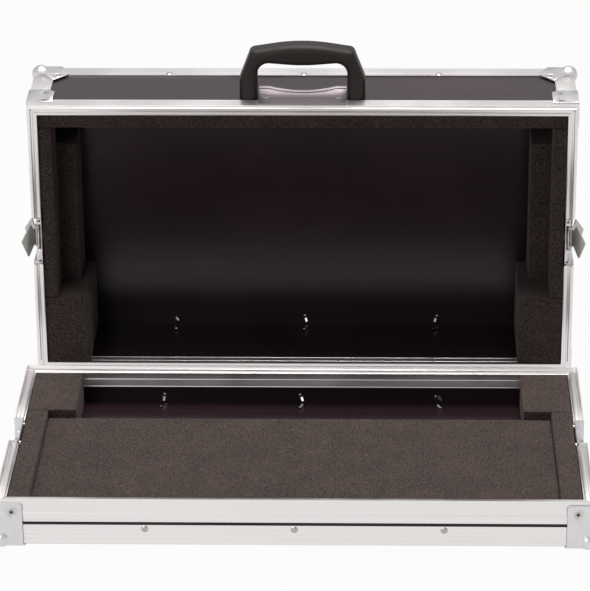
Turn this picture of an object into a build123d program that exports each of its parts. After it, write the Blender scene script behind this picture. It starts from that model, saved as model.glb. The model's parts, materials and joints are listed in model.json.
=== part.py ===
from build123d import *
import os
from math import asin, atan, cos, degrees, radians, sin, sqrt, tan

# Flight case for a small synthesizer: a shallow tray and a deep lift-off cover with two butterfly latches.
#
# The frame: +X to the right, +Y to the back, +Z up. The tray stands in front on its ball corners. The cover
# stands behind it on its long side, with its opening to the front and the carrying handle on top.
#
# Everything is modelled about the middle of the tray's bottom panel, on its underside. As the last step,
# `to_origin` moves it so that the origin is on the floor, in the middle of what the open case takes up.
#
# Every piece of the cover is first made where it sits on the closed case. The location `standing` then turns
# it to where it stands, so the same turn the other way closes the case.

# Outer size of the closed case, over the aluminium
case_width = 625.0
case_depth = 336.0
tray_height = 53.0
cover_height = 119.0

# Plywood
wall_ply = 7.0
floor_ply = 9.0
cover_ply = 7.0

# Aluminium: edge angles and the two rim extrusions
sheet = 1.5
angle_leg = 23.0
reed_depth = 0.12
reed_width = 0.9
rim_reeds = (2.4, 5.0, 8.4, 12.4, 16.4)
angle_reeds = (2.5, 7.5, 12.5, 17.5)
rim_width = 11.3
lip_height = 4.4
lip_width = 1.4
groove_width = 2.4
ridge_drop = 2.4
inner_edge_drop = 4.0
cap = 1.6
flange = 1.2
step_rise = 0.35
step_drop = 6.5
bead = 1.4
tray_outer_leg = 26.5
tray_inner_leg = 22.2
cover_outer_leg = 17.5
cover_inner_leg = 19.0
closing_gap = 0.2
tongue_side_gap = 0.3
tongue_end_gap = 0.5
tongue_width = 1.7
cover_band = 6.3
cover_slot = 2.4
cover_slot_depth = 1.2
mitre_notch_radius = 1.2
mitre_notch_inset = 4.6
mitre_notch_depth = 3.0
ledge = 3.0
plain_end = 16.0

# Where the cover stands
stand_off = 108.0

# Sheet-steel corners
corner_sheet = 1.2
ball_radius = 10.5
ball_inset = 5.5
lobe_edge = 31.0
lobe_reach = 43.0
lobe_waist = 13.0
lobe_shoulder = 25.0
lobe_drop = 22.0
tray_corner_width = 28.5
tray_corner_drop = 4.8
corner_round = 4.0
brace_width = 28.5
brace_start = 8.0
brace_length = 38.0
brace_cut = 6.0

# Rivets
rivet_shank = 2.0
rivet_head = 3.8
rivet_rise = 1.3
rivet_inset = 18.5
prong_length = 5.0
prong_width = 2.4
prong_thick = 0.8
prong_drop = 1.8
corner_rivet_head = 3.4
corner_rivet_rise = 0.65
corner_rivet_bite = 5.0
lobe_rivet = 27.5
tray_corner_rivet = 17.5
tray_corner_rivet_drop = 15.0
brace_rivet = 19.0
brace_rivet_margin = 6.0

# Foam
foam_gap = 0.3
foam_rim_gap = 3.3
side_foam = 26.0
foam_below_lip = 4.5
pad_below_lip = 14.0
rear_block_width = 56.5
rear_block_length = 100.0
cover_strip = 18.0
cover_front_strip = 20.5
cover_strip_depth = 50.0
inner_pad = 41.0
inner_pad_length = 173.5
cover_block_width = 54.0
cover_block_length = 86.0
hardware_pocket_gap = 1.0

# Butterfly latches
dish_width = 58.0
dish_sheet = 1.0
dish_depth = 11.0
dish_flange = 6.0
dish_corner = 3.0
dish_end_gap = 1.4
dish_end_cut = 4.0
face_plate_reach = 6.3
notch_front = 20.6
notch_rear = 10.5
face_rivet_place = 25.0
face_rivet_head = 2.3
face_rivet_bite = 1.5
dish_rivet_margin = 6.0
dish_rivet_head = 2.7
dish_rivet_tail = 1.4
dish_rivet_tail_radius = 3.0
spindle_height = 17.0
dish_room = 29.0
catch_height = 25.0
claw_lift = 0.3
claw_thick = 2.0
claw_outer = 25.5
claw_inner = 21.8
claw_hub = 8.0
claw_arm_from = -42.0
claw_arm_to = -22.0
claw_tip = 16.0
keeper_inner = 17.8
keeper_gap = 0.3
keeper_from = -16.0
keeper_to = 14.0
plate_thick = 1.5
plate_gap = 0.8
spindle_radius = 3.0
spindle_fit = 0.05
washer_radius = 6.5
washer_thick = 1.0
washer_gap = 0.4
pin_offset = 2.6
pin_rise = 2.6
pin_radius = 1.1
pin_fit = 0.05
post_length = 2.5
post_half_width = 5.0
post_top = 4.5
wing_end_gap = 0.3
wing_barrel_half = 10.0
wing_barrel = 2.1
wing_thick = 1.4
wing_neck = 3.2
wing_reach = 24.6
wing_front_tip = 18.0
wing_front_tip_reach = 9.3
wing_rear_tip = 22.5
wing_rear_tip_reach = 14.8
wing_tip_round = 1.2
wing_spread = 50.0

# Handle
handle_half_base = 71.5
handle_leg = 20.5
handle_leg_straight = 22.0
handle_elbow_round = 14.0
handle_shoulder_in = 13.0
handle_shoulder = 56.5
handle_shoulder_round = 7.0
handle_crown = 65.7
handle_grip_under = 38.7
handle_bow_round = 200.0
handle_grip_end = 43.0
handle_finger_round = 13.0
handle_thick = 28.0
handle_edge_round = 8.0
handle_inner_edge_round = 6.0
handle_bolt_spacing = 12.0
handle_bolt_radius = 3.0
handle_bolt_depth = 22.0
handle_bolt_head = 5.0
handle_bolt_head_height = 4.0
handle_washer_radius = 6.5
handle_washer_thick = 1.6

# Plate between the handle's legs
plate_sheet = 1.5
plate_side_gap = 1.0
plate_front_edge = 0.6
plate_step = 1.0
plate_fold = 31.5
plate_rear_edge = 46.5
plate_ramp_rise = 5.0
plate_straight = 12.0
plate_cut = 7.0
hem_width = 3.5
hem_thick = 1.0
plate_rivet_margin = 10.0
plate_rivet_y = 25.0

# Levels that follow from the sizes above
half_w = case_width / 2
half_d = case_depth / 2
parting = tray_height - sheet
cover_base = parting + closing_gap
cover_top = cover_base + cover_height
wall = sheet + wall_ply
tray_floor = floor_ply
cover_ceiling = cover_top - sheet - cover_ply
ply_top = parting - lip_height - cap
ply_bottom = cover_base + lip_height
ball_proud = ball_radius - ball_inset
floor_level = -sheet - ball_proud
handle_depth = (cover_height - tray_height) / 2
handle_inner = handle_half_base - handle_leg
handle_shoulder_half = handle_half_base - handle_shoulder_in
plate_rivet_x = handle_inner - plate_rivet_margin

# Depths inside a latch, from the case's side face inward
seat = half_w - dish_depth + dish_sheet
claw_back = seat + claw_lift
plate_back = claw_back + claw_thick
plate_face = plate_back + plate_thick
pin_x = plate_face + pin_rise
spindle_level = parting + spindle_height
dish_top = spindle_level + dish_room
latch_back = half_w - dish_depth - washer_gap - washer_thick

# The standing cover rests on two balls behind and on the lowest rivets of its two lower rim braces in front
foot_run = brace_start + brace_rivet_margin
foot_rise = corner_sheet + corner_rivet_rise


def lean_angle():
    """Angle by which the ball corners tip the standing cover forward, in degrees."""
    run = cover_height - ball_inset - foot_run
    rise = ball_inset + foot_rise
    return degrees(asin(ball_radius / sqrt(run ** 2 + rise ** 2)) - atan(rise / run))


lean = lean_angle()
swing = 90 - lean
edge_lift = foot_rise * cos(radians(lean)) - foot_run * sin(radians(lean))


def swing_centre():
    """Point in the Y-Z plane about which one turn takes the cover from closed to where it stands."""
    from_y, from_z = half_d, cover_base
    to_y, to_z = half_d + stand_off, floor_level + edge_lift
    half_turn = 2 * tan(radians(-swing) / 2)
    centre_y = (from_y + to_y) / 2 - (to_z - from_z) / half_turn
    centre_z = (from_z + to_z) / 2 + (to_y - from_y) / half_turn
    return centre_y, centre_z


pivot_y, pivot_z = swing_centre()
standing = Pos(0, pivot_y, pivot_z) * Rot(-swing, 0, 0) * Pos(0, -pivot_y, -pivot_z)
front_reach = -half_d - ball_proud
rear_reach = (standing * Pos(0, half_d - ball_inset, cover_top - ball_inset)).position.Y + ball_radius
to_origin = Pos(0, -(front_reach + rear_reach) / 2, -floor_level)


def block(x0, x1, y0, y1, z0, z1):
    """Box between two corners."""
    return Pos((x0 + x1) / 2, (y0 + y1) / 2, (z0 + z1) / 2) * Box(abs(x1 - x0), abs(y1 - y0), abs(z1 - z0))


def prism(points, z0, z1):
    """Solid with the outline of the given X-Y points between two levels."""
    face = make_face(Polyline([(x, y, z0) for x, y in points], close=True))
    return extrude(face, z1 - z0, dir=(0, 0, 1))


def disc(radius, axis, centre, half_length):
    """Cylinder about a line along X, Y or Z through centre, half_length to each side."""
    turns = {"X": Rot(0, 90, 0), "Y": Rot(90, 0, 0), "Z": Rot(0, 0, 0)}
    return Pos(*centre) * turns[axis] * Cylinder(radius, 2 * half_length)


def both_sides(right):
    """The right-hand shape and its mirror image on the left, as a list of two."""
    return [right, mirror(right, about=Plane.YZ)]


def solids(*shapes):
    """Flat list of the solids in the given shapes and lists."""
    found = []
    for shape in shapes:
        if isinstance(shape, (list, tuple)):
            found += solids(*shape)
        else:
            found += list(shape.solids())
    return found


SIDE_TURN = {"front": 0, "right": 90, "rear": 180, "left": -90}
SIDE_SHIFT = {"front": (0, -1), "right": (1, 0), "rear": (0, 1), "left": (-1, 0)}


def side_length(side):
    return case_width if side in ("front", "rear") else case_depth


def at_side(shape, side):
    """Moves a shape made for a wall along X, outer face at y = 0, inside toward +Y, to one of four sides."""
    dx, dy = SIDE_SHIFT[side]
    return Pos(dx * half_w, dy * half_d, 0) * Rot(0, 0, SIDE_TURN[side]) * shape


def mitred(profile, length, reach):
    """Bar along X with a (depth, height) profile and both ends cut at 45 degrees, inside shorter."""
    face = make_face(Polyline([(0, t, z) for t, z in profile], close=True))
    bar = extrude(face, length / 2, both=True, dir=(1, 0, 0))
    half = length / 2
    low = min(z for _, z in profile) - 1
    high = max(z for _, z in profile) + 1
    corners = [(-half - 5, -5), (half + 5, -5), (half - reach, reach), (-half + reach, reach)]
    return bar & prism(corners, low, high)


def reeds(places, leg, edge, sign):
    """Points of the fine V grooves in a leg's outer face, at places from its edge and going back to it."""
    points = []
    for place in sorted(places, reverse=True):
        if place < leg - reed_width:
            middle = edge + sign * place
            points += [(0, middle + sign * reed_width / 2), (reed_depth, middle),
                       (0, middle - sign * reed_width / 2)]
    return points


def stepped_leg(inner, top, foot):
    """Points down the inside of a rim's inner leg: a step, thicker below it, and a bead at the foot.

    The points run from the rim's side to the foot of the leg, which may lie below or above.
    """
    down = 1 if foot > top else -1
    step = top + down * step_drop
    return [(inner, step), (inner + step_rise, step + down * step_rise),
            (inner + step_rise, foot - down * bead),
            (inner + 2 * step_rise, foot - down * (bead - step_rise)),
            (inner + 2 * step_rise, foot), (wall, foot)]


def tray_rim_profile():
    """Lower rim: an outer lip, the groove behind it, a low ridge and the slot that holds the plywood."""
    groove = lip_width + 0.5
    inner = wall + flange
    top = [(0, parting), (lip_width, parting), (groove, parting - lip_height),
           (groove + groove_width, parting - lip_height),
           (groove + groove_width + 0.9, parting - ridge_drop), (wall + 0.8, parting - ridge_drop),
           (inner + 0.2, parting - inner_edge_drop), (rim_width, parting - inner_edge_drop),
           (rim_width, parting - inner_edge_drop - cap), (inner, parting - inner_edge_drop - cap)]
    leg = stepped_leg(inner, parting - inner_edge_drop - cap, parting - tray_inner_leg)
    slot = leg + [(wall, ply_top), (sheet, ply_top), (sheet, parting - tray_outer_leg),
                  (0, parting - tray_outer_leg)]
    return top + slot + reeds(rim_reeds, tray_outer_leg, parting, -1)


def cover_rim_profile(with_tongue):
    """Upper rim: a ledge that meets the lip, a tongue for the groove, a dark slot and an inner edge."""
    inner = wall + flange
    tongue = lip_width + 0.5 + tongue_side_gap
    low = parting - lip_height + tongue_end_gap
    band = parting - ridge_drop + tongue_end_gap
    slot_end = cover_band + 0.2 + cover_slot
    if with_tongue:
        slot_top = band + cover_slot_depth
        face = [(tongue - 0.3, cover_base), (tongue, low), (tongue + tongue_width, low),
                (tongue + tongue_width + 0.7, band), (cover_band, band), (cover_band + 0.2, slot_top),
                (slot_end, slot_top), (slot_end + 0.2, band), (rim_width, band)]
    else:
        slot_top = cover_base + cover_slot_depth
        face = [(cover_band, cover_base), (cover_band + 0.2, slot_top), (slot_end, slot_top),
                (slot_end + 0.2, cover_base), (rim_width, cover_base)]
    leg = stepped_leg(inner, cover_base + ledge, cover_base + cover_inner_leg)
    back = [(rim_width, cover_base + ledge), (inner, cover_base + ledge)] + leg
    back += [(wall, ply_bottom), (sheet, ply_bottom), (sheet, cover_base + cover_outer_leg),
             (0, cover_base + cover_outer_leg)]
    return [(0, cover_base)] + face + back + reeds(rim_reeds, cover_outer_leg, cover_base, 1)


def latch_gap(z0, z1, play=0.0):
    """What a latch dish, with play to each side, takes out of the right-hand side wall and rim."""
    half = dish_width / 2 + play
    return block(half_w - 3 * rim_width, half_w + 5, -half, half, z0, z1)


def tray_rims():
    """Four lower rim bars. A latch dish splits each side one in two."""
    rims = {}
    for side in ("front", "rear"):
        rims[side] = at_side(mitred(tray_rim_profile(), side_length(side), rim_width + 4), side)
    right = at_side(mitred(tray_rim_profile(), side_length("right"), rim_width + 4), "right")
    right -= latch_gap(0, parting + 5)
    rims["right"], rims["left"] = both_sides(right)
    return rims


def mitre_notches():
    """Small blind holes where the tongue stops short of the mitre, at the two front corners of the cover."""
    x, y = half_w - mitre_notch_inset, -half_d + mitre_notch_inset
    return [disc(mitre_notch_radius, "Z", (sign * x, y, cover_base), mitre_notch_depth) for sign in (-1, 1)]


def cover_rims():
    """Four upper rim bars. The rear one and the last stretch of the sides have no tongue."""
    rims = {}
    rims["front"] = at_side(mitred(cover_rim_profile(True), case_width, rim_width + 4), "front")
    rims["rear"] = at_side(mitred(cover_rim_profile(False), case_width, rim_width + 4), "rear")
    with_tongue = at_side(mitred(cover_rim_profile(True), case_depth, rim_width + 4), "right")
    plain = at_side(mitred(cover_rim_profile(False), case_depth, rim_width + 4), "right")
    split = half_d - plain_end
    low, high = parting - tray_outer_leg, cover_top
    right = with_tongue & block(0, half_w + 5, -half_d - 5, split, low, high)
    right += plain & block(0, half_w + 5, split, half_d + 5, low, high)
    right -= latch_gap(low, high, closing_gap)
    rims["right"], rims["left"] = both_sides(right)
    return rims


def angle_profile():
    """Edge angle of the tray's bottom: depth from the wall's outer face, height from the origin."""
    bevel = 0.7
    top = angle_leg - sheet
    grooves = [(x, z) for x, z in reversed(reeds(angle_reeds, top, top, -1))]
    return ([(sheet, top), (0, top)] + grooves
            + [(0, -sheet + bevel), (bevel, -sheet), (angle_leg, -sheet), (angle_leg, 0), (sheet, 0)])


def tray_angle(side):
    return at_side(mitred(angle_profile(), side_length(side), angle_leg + 4), side)


def to_cover(shape):
    """Turns an edge piece of the tray's bottom over to the cover's top, front staying in front."""
    middle = (cover_top - sheet) / 2
    return mirror(shape, about=Plane.XY.offset(middle))


def cover_corner_angle():
    """Upright angle at the right rear corner, between the rim's leg and the top angles."""
    x, y = half_w, half_d
    outline = [(x, y), (x, y - angle_leg), (x - sheet, y - angle_leg), (x - sheet, y - sheet),
               (x - angle_leg, y - sheet), (x - angle_leg, y)]
    return prism(outline, cover_base + cover_outer_leg, cover_top - angle_leg)


def four_corners(shape):
    """A shape at the right rear corner and its images at the other three."""
    rear = both_sides(shape)
    return rear + [mirror(s, about=Plane.XZ) for s in rear]


def lobe(offset):
    """Plate of a ball corner on the underside at the right rear corner."""
    points = [(0, 0), (lobe_edge, 0), (lobe_reach, angle_leg), (angle_leg, lobe_reach), (0, lobe_edge)]
    outline = [(half_w + offset - px, half_d + offset - py) for px, py in points]
    return prism(outline, -sheet - corner_sheet, -sheet)


def ball():
    """The ball outside the three faces that meet at the right rear bottom corner."""
    sphere = Pos(half_w - ball_inset, half_d - ball_inset, -sheet + ball_inset) * Sphere(ball_radius)
    return sphere - block(0, half_w, 0, half_d, -sheet, parting)


def wall_lobe_points():
    """Outline of the plate on a wall: along the edge, then away from it, with a waist below the ball."""
    return [(0, 0), (lobe_edge, 0), (lobe_reach, angle_leg), (lobe_shoulder, lobe_reach),
            (lobe_waist, lobe_shoulder), (0, lobe_drop)]


def side_lobe():
    """Plate of the cover's ball corner on the right-hand face, as made for the tray's bottom corner."""
    points = wall_lobe_points()
    outline = [(half_w, half_d + corner_sheet - py, -sheet - corner_sheet + pz) for py, pz in points]
    face = make_face(Polyline(outline, close=True))
    return extrude(face, corner_sheet, dir=(1, 0, 0))


def rear_lobe():
    """The same plate on the rear face."""
    points = wall_lobe_points()
    outline = [(half_w + corner_sheet - px, half_d, -sheet - corner_sheet + pz) for px, pz in points]
    face = make_face(Polyline(outline, close=True))
    return extrude(face, corner_sheet, dir=(0, 1, 0))


def tray_corner_plates():
    """Tall plates of the tray's corner on the right-hand and rear faces."""
    top = parting - tray_corner_drop
    side = block(half_w, half_w + corner_sheet, half_d - tray_corner_width, half_d + corner_sheet,
                 -sheet - corner_sheet, top)
    rear = block(half_w - tray_corner_width, half_w + corner_sheet, half_d, half_d + corner_sheet,
                 -sheet - corner_sheet, top)
    side_edge = side.edges().filter_by(Axis.X).sort_by(Axis.Z)[-2:].sort_by(Axis.Y)[0]
    rear_edge = rear.edges().filter_by(Axis.Y).sort_by(Axis.Z)[-2:].sort_by(Axis.X)[0]
    return fillet(side_edge, corner_round) + fillet(rear_edge, corner_round)


def tray_corner_holes():
    """Where rivets go through the tray's corner: x, y, z and the axis of each."""
    z = parting - tray_corner_rivet_drop
    return [((half_w, half_d - tray_corner_rivet, z), "X"), ((half_w - tray_corner_rivet, half_d, z), "Y"),
            ((half_w - lobe_rivet, half_d - lobe_rivet, -sheet), "Z")]


def cover_corner_holes():
    """Where rivets go through a ball corner of the cover, as made for the tray's bottom corner."""
    inset = lobe_rivet
    return [((half_w, half_d - inset, inset - sheet), "X"), ((half_w - inset, half_d, inset - sheet), "Y"),
            ((half_w - inset, half_d - inset, -sheet), "Z")]


def drill(places, radius, reach):
    """Holes of one radius at the listed places, reach to each side of the face."""
    return [disc(radius, axis, centre, reach) for centre, axis in places]


def tray_ball_corner():
    return lobe(corner_sheet) + tray_corner_plates() + ball() - drill(tray_corner_holes(), rivet_shank, 3)


def cover_ball_corner():
    corner = lobe(corner_sheet) + side_lobe() + rear_lobe() + ball()
    return to_cover(corner - drill(cover_corner_holes(), rivet_shank, 3))


def brace_holes():
    """Where rivets go through a rim brace at the right rear corner of the cover."""
    levels = (cover_base + foot_run, cover_base + brace_start + brace_length - 1.5 * brace_rivet_margin)
    holes = []
    for z in levels:
        holes.append(((half_w, half_d - brace_rivet, z), "X"))
        holes.append(((half_w - brace_rivet, half_d, z), "Y"))
    return holes


def rim_brace():
    """Angle plate round the cover's right rear rim corner."""
    low, high = cover_base + brace_start, cover_base + brace_start + brace_length
    outline = [(0, low), (brace_width, low), (brace_width, high - brace_cut),
               (brace_width - brace_cut, high), (0, high)]
    side = make_face(Polyline([(half_w, half_d - t, z) for t, z in outline], close=True))
    rear = make_face(Polyline([(half_w - t, half_d, z) for t, z in outline], close=True))
    plates = extrude(side, corner_sheet, dir=(1, 0, 0)) + extrude(rear, corner_sheet, dir=(0, 1, 0))
    plates += block(half_w, half_w + corner_sheet, half_d, half_d + corner_sheet, low, high)
    return plates - drill(brace_holes(), rivet_shank, 3)


def rivet(centre, axis, outward, head_radius, rise, grip, split_angle=None):
    """Rivet with its head at centre on a face: a low dome, a shank of length grip and, if split, two prongs.

    It is made along +Z with the head up and then turned to the outward direction of the face.
    """
    dome_radius = (head_radius ** 2 + rise ** 2) / (2 * rise)
    dome = Pos(0, 0, rise - dome_radius) * Sphere(dome_radius)
    head = dome & block(-head_radius - 1, head_radius + 1, -head_radius - 1, head_radius + 1, 0, rise + 1)
    body = head + Pos(0, 0, -grip / 2) * Cylinder(rivet_shank, grip)
    if split_angle is not None:
        foot = [(0.3, -grip), (0.3, -grip - prong_thick),
                (prong_length - prong_thick, -grip - prong_drop - prong_thick),
                (prong_length, -grip - prong_drop), (0.7 * rivet_shank, -grip)]
        for turn in (0, 180):
            face = make_face(Polyline([(x, 0, z) for x, z in foot], close=True))
            prong = extrude(face, prong_width / 2, both=True, dir=(0, 1, 0))
            body += Rot(0, 0, split_angle + turn) * prong
    turns = {("X", 1): Rot(0, 90, 0), ("X", -1): Rot(0, -90, 0), ("Y", 1): Rot(-90, 0, 0),
             ("Y", -1): Rot(90, 0, 0), ("Z", 1): Rot(0, 0, 0), ("Z", -1): Rot(180, 0, 0)}
    return Pos(*centre) * turns[(axis, outward)] * body


def edge_rivet_places():
    """Rivets of the bottom edge angles: place, axis, outward sign, plywood under the leg, whether split."""
    places = []
    for x in (-case_width / 4, 0, case_width / 4):
        for sign in (-1, 1):
            places.append(((x, sign * half_d, rivet_inset - sheet), "Y", sign, wall_ply, True))
            places.append(((x, sign * (half_d - rivet_inset), -sheet), "Z", -1, floor_ply, True))
    for y in (-case_depth / 4, case_depth / 4):
        for sign in (-1, 1):
            places.append(((sign * half_w, y, rivet_inset - sheet), "X", sign, wall_ply, False))
            places.append(((sign * (half_w - rivet_inset), y, -sheet), "Z", -1, floor_ply, False))
    return places


def edge_rivets(ply_below):
    """All rivets of the edge angles. ply_below replaces the bottom panel's thickness on the cover."""
    made = []
    for number, (centre, axis, sign, ply, is_split) in enumerate(edge_rivet_places()):
        grip = sheet + (ply_below if axis == "Z" else ply)
        angle = 25 + 37 * number if is_split else None
        made.append(rivet(centre, axis, sign, rivet_head, rivet_rise, grip, angle))
    return made


def edge_rivet_holes():
    """Clearance for the shanks in the angles and the plywood."""
    return [disc(rivet_shank, place[1], place[0], sheet + floor_ply) for place in edge_rivet_places()]


def corner_rivets(places, plate):
    """Rivets at a corner. Heads sit on the corner plate, shanks stop in the plywood."""
    made = []
    for (x, y, z), axis in places:
        outward = -1 if axis == "Z" else 1
        centre = {"X": (x + plate, y, z), "Y": (x, y + plate, z), "Z": (x, y, z - plate)}[axis]
        grip = plate + sheet + corner_rivet_bite
        made.append(rivet(centre, axis, outward, corner_rivet_head, corner_rivet_rise, grip))
    return made


def corner_bores(places):
    """Blind holes of the corner rivets in the aluminium and the plywood behind it."""
    holes = []
    for (x, y, z), axis in places:
        depth = sheet + corner_rivet_bite
        middle = {"X": (x - depth / 2, y, z), "Y": (x, y - depth / 2, z), "Z": (x, y, z + depth / 2)}[axis]
        holes.append(disc(rivet_shank, axis, middle, depth / 2))
    return holes


def tray_holes():
    """Every rivet hole of the tray."""
    corners = []
    for hole in corner_bores(tray_corner_holes()):
        corners += four_corners(hole)
    return edge_rivet_holes() + corners


def cover_holes():
    """Every rivet hole of the cover, on the closed case."""
    corners = []
    for hole in corner_bores(cover_corner_holes()):
        corners += four_corners(to_cover(hole))
    for hole in corner_bores(brace_holes()):
        corners += four_corners(hole)
    return [to_cover(hole) for hole in edge_rivet_holes()] + corners


def near(shape, holes):
    """The holes whose boxes reach the shape, so that each cut stays small."""
    box = shape.bounding_box()
    found = []
    for hole in holes:
        other = hole.bounding_box()
        apart = (other.min.X > box.max.X or other.max.X < box.min.X or other.min.Y > box.max.Y
                 or other.max.Y < box.min.Y or other.min.Z > box.max.Z or other.max.Z < box.min.Z)
        if not apart:
            found.append(hole)
    return found


def bored(shape, holes):
    """Shape with the holes that reach it cut out."""
    close = near(shape, holes)
    return shape - close if close else shape


def tray_panels():
    """Bottom panel and the four walls on it."""
    out_w, out_d = half_w - sheet, half_d - sheet
    in_w, in_d = half_w - wall, half_d - wall
    panels = {"bottom": block(-out_w, out_w, -out_d, out_d, 0, floor_ply),
              "front": block(-out_w, out_w, -out_d, -in_d, floor_ply, ply_top),
              "rear": block(-out_w, out_w, in_d, out_d, floor_ply, ply_top)}
    right = block(in_w, out_w, -in_d, in_d, floor_ply, ply_top) - latch_gap(parting - catch_height, parting)
    panels["right"], panels["left"] = both_sides(right)
    return panels


def cover_panels():
    """Top panel and the four walls under it."""
    out_w, out_d = half_w - sheet, half_d - sheet
    in_w, in_d = half_w - wall, half_d - wall
    panels = {"top": block(-out_w, out_w, -out_d, out_d, cover_ceiling, cover_top - sheet),
              "front": block(-out_w, out_w, -out_d, -in_d, ply_bottom, cover_ceiling),
              "rear": block(-out_w, out_w, in_d, out_d, ply_bottom, cover_ceiling)}
    right = block(in_w, out_w, -in_d, in_d, ply_bottom, cover_ceiling) - latch_gap(cover_base, dish_top)
    panels["right"], panels["left"] = both_sides(right)
    return panels


def dish(z0, z1, opening):
    """Pressed dish in the right-hand wall, open outward and, low or high, toward the parting."""
    back, half = half_w - dish_depth, dish_width / 2
    inside_low = z0 if opening == "low" else z0 + dish_sheet
    inside_high = z1 if opening == "high" else z1 - dish_sheet
    outside = deep_rounded(block(back, half_w, -half, half, z0, z1), dish_corner)
    half -= dish_sheet
    inside = block(back + dish_sheet, half_w, -half, half, inside_low, inside_high)
    return outside - deep_rounded(inside, dish_corner - dish_sheet)


def deep_rounded(shape, radius):
    """Box with its two upright edges nearest the inside of the case rounded."""
    return fillet(shape.edges().filter_by(Axis.Z).sort_by(Axis.X)[:2], radius)


def face_plate():
    """Plate of the latch dish toward the parting, on both sides of the notch that the claw passes."""
    back, half = half_w - dish_depth, dish_width / 2 - dish_end_gap
    low, high = cover_base, cover_base + dish_sheet
    plate = deep_rounded(block(back, back + face_plate_reach, -half, half, low, high), dish_corner)
    return plate - block(seat, half_w, -notch_front, notch_rear, low - 1, high + 1)


def cover_dish():
    """Dish of the latch in the cover, with a flange on the plywood and the bore for the spindle."""
    half = dish_width / 2
    flange_face = half_w - sheet
    rim = block(flange_face, flange_face + dish_sheet, -half - dish_flange, half + dish_flange,
                cover_base + cover_outer_leg, dish_top + dish_flange)
    rim -= block(half_w - dish_depth, half_w, -half, half, cover_base, dish_top)
    bore = disc(spindle_radius + spindle_fit, "X", (seat, 0, spindle_level), 2 * dish_sheet)
    shell = dish(cover_base, dish_top, "low")
    for near_y in (-half - 1, half - dish_end_gap):
        shell -= block(half_w - dish_depth - 1, half_w + 1, near_y, near_y + dish_end_gap + 1,
                       cover_base - 1, cover_base + dish_end_cut)
    return shell + rim + face_plate() - bore - face_rivet_holes()


def sector(inner, outer, start, end):
    """Ring sector about the spindle in the Y-Z plane. Angles run from straight down toward +Y."""

    def at(radius, angle):
        return (0, radius * sin(radians(angle)), spindle_level - radius * cos(radians(angle)))

    middle = (start + end) / 2
    outline = [ThreePointArc(at(outer, start), at(outer, middle), at(outer, end)),
               Line(at(outer, end), at(inner, end)),
               ThreePointArc(at(inner, end), at(inner, middle), at(inner, start)),
               Line(at(inner, start), at(outer, start))]
    return make_face(outline)


def slab(face, x0, x1):
    """Face of the Y-Z plane made into a solid between two x values."""
    return Pos(x0, 0, 0) * extrude(face, x1 - x0, dir=(1, 0, 0))


def catch_dish():
    """Dish in the tray with the keeper that the claw slides under."""
    low = parting - catch_height
    keeper = sector(keeper_inner, claw_inner - keeper_gap, keeper_from, keeper_to)
    sill = block(half_w - sheet, half_w - sheet + dish_sheet, -dish_width / 2, dish_width / 2,
                 parting - tray_outer_leg, low)
    return dish(low, parting, "high") + slab(keeper, seat, plate_back) + sill


def latch_turner():
    """Spindle, claw and turning plate, locked position: the claw points down to the tray."""
    z = spindle_level
    claw = slab(sector(claw_inner, claw_outer, claw_arm_from, claw_tip), claw_back, plate_back)
    claw += slab(sector(claw_hub - 3, claw_inner + 1, claw_arm_from, claw_arm_to), claw_back, plate_back)
    claw += disc(claw_hub, "X", (claw_back + claw_thick / 2, 0, z), claw_thick / 2)
    plate = disc(keeper_inner - plate_gap, "X", (plate_back + plate_thick / 2, 0, z), plate_thick / 2)
    middle = (latch_back + plate_back) / 2
    spindle = disc(spindle_radius, "X", (middle, 0, z), (plate_back - latch_back) / 2)
    washer = disc(washer_radius, "X", (latch_back + washer_thick / 2, 0, z), washer_thick / 2)
    near_end = wing_barrel_half + wing_end_gap
    far_end = near_end + post_length
    top, width = plate_face + post_top, post_half_width
    posts = [block(plate_face, top, -width, width, z + near_end, z + far_end),
             block(plate_face, top, -width, width, z - far_end, z - near_end)]
    bores = [disc(pin_radius, "Z", (pin_x, side * pin_offset, z), far_end + 1) for side in (-1, 1)]
    return (claw + plate + spindle + washer + posts) - bores


def wing_pins():
    """The two wing pins, in the turner's posts."""
    half = wing_barrel_half + wing_end_gap + post_length
    return [disc(pin_radius, "Z", (pin_x, side * pin_offset, spindle_level), half) for side in (-1, 1)]


def wing(side):
    """One wing with its barrel round the pin. side is -1 for the front wing, 1 for the rear one.

    The blade is narrow at the barrel and widens past the posts to three points: a tip to each side and the
    far point between them. It is made upright and then spread away from the other wing.
    """
    z, y, half = spindle_level, side * pin_offset, wing_barrel_half
    neck = post_top - pin_rise + wing_end_gap + wing_neck
    points = [(0, half), (neck, half), (wing_rear_tip_reach, wing_rear_tip), (wing_reach, 0),
              (wing_front_tip_reach, -wing_front_tip), (neck, -half), (0, -half)]
    face = make_face(Polyline([(pin_x + out, y, z + along) for out, along in points], close=True))
    blade = extrude(face, wing_thick / 2, both=True, dir=(0, 1, 0))
    far = pin_x + (neck + wing_front_tip_reach) / 2
    blade = fillet([e for e in blade.edges().filter_by(Axis.Y) if e.center().X > far], wing_tip_round)
    barrel = disc(wing_barrel, "Z", (pin_x, y, z), half)
    upright = (blade + barrel) - disc(pin_radius + pin_fit, "Z", (pin_x, y, z), half + 1)
    return Pos(pin_x, y, 0) * Rot(0, 0, side * wing_spread) * Pos(-pin_x, -y, 0) * upright


def unlocked(shape):
    """Turns a piece of the right-hand latch back from locked to open, claw to the front."""
    return Pos(0, 0, spindle_level) * Rot(-90, 0, 0) * Pos(0, 0, -spindle_level) * shape


def catch_rivet_places():
    """Corners of the catch dish's floor where rivets hold it to the sheet behind it."""
    reach = dish_width / 2 - dish_rivet_margin
    levels = (parting - catch_height + dish_rivet_margin, parting - dish_rivet_margin)
    return [(y, z) for y in (-reach, reach) for z in levels]


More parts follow.
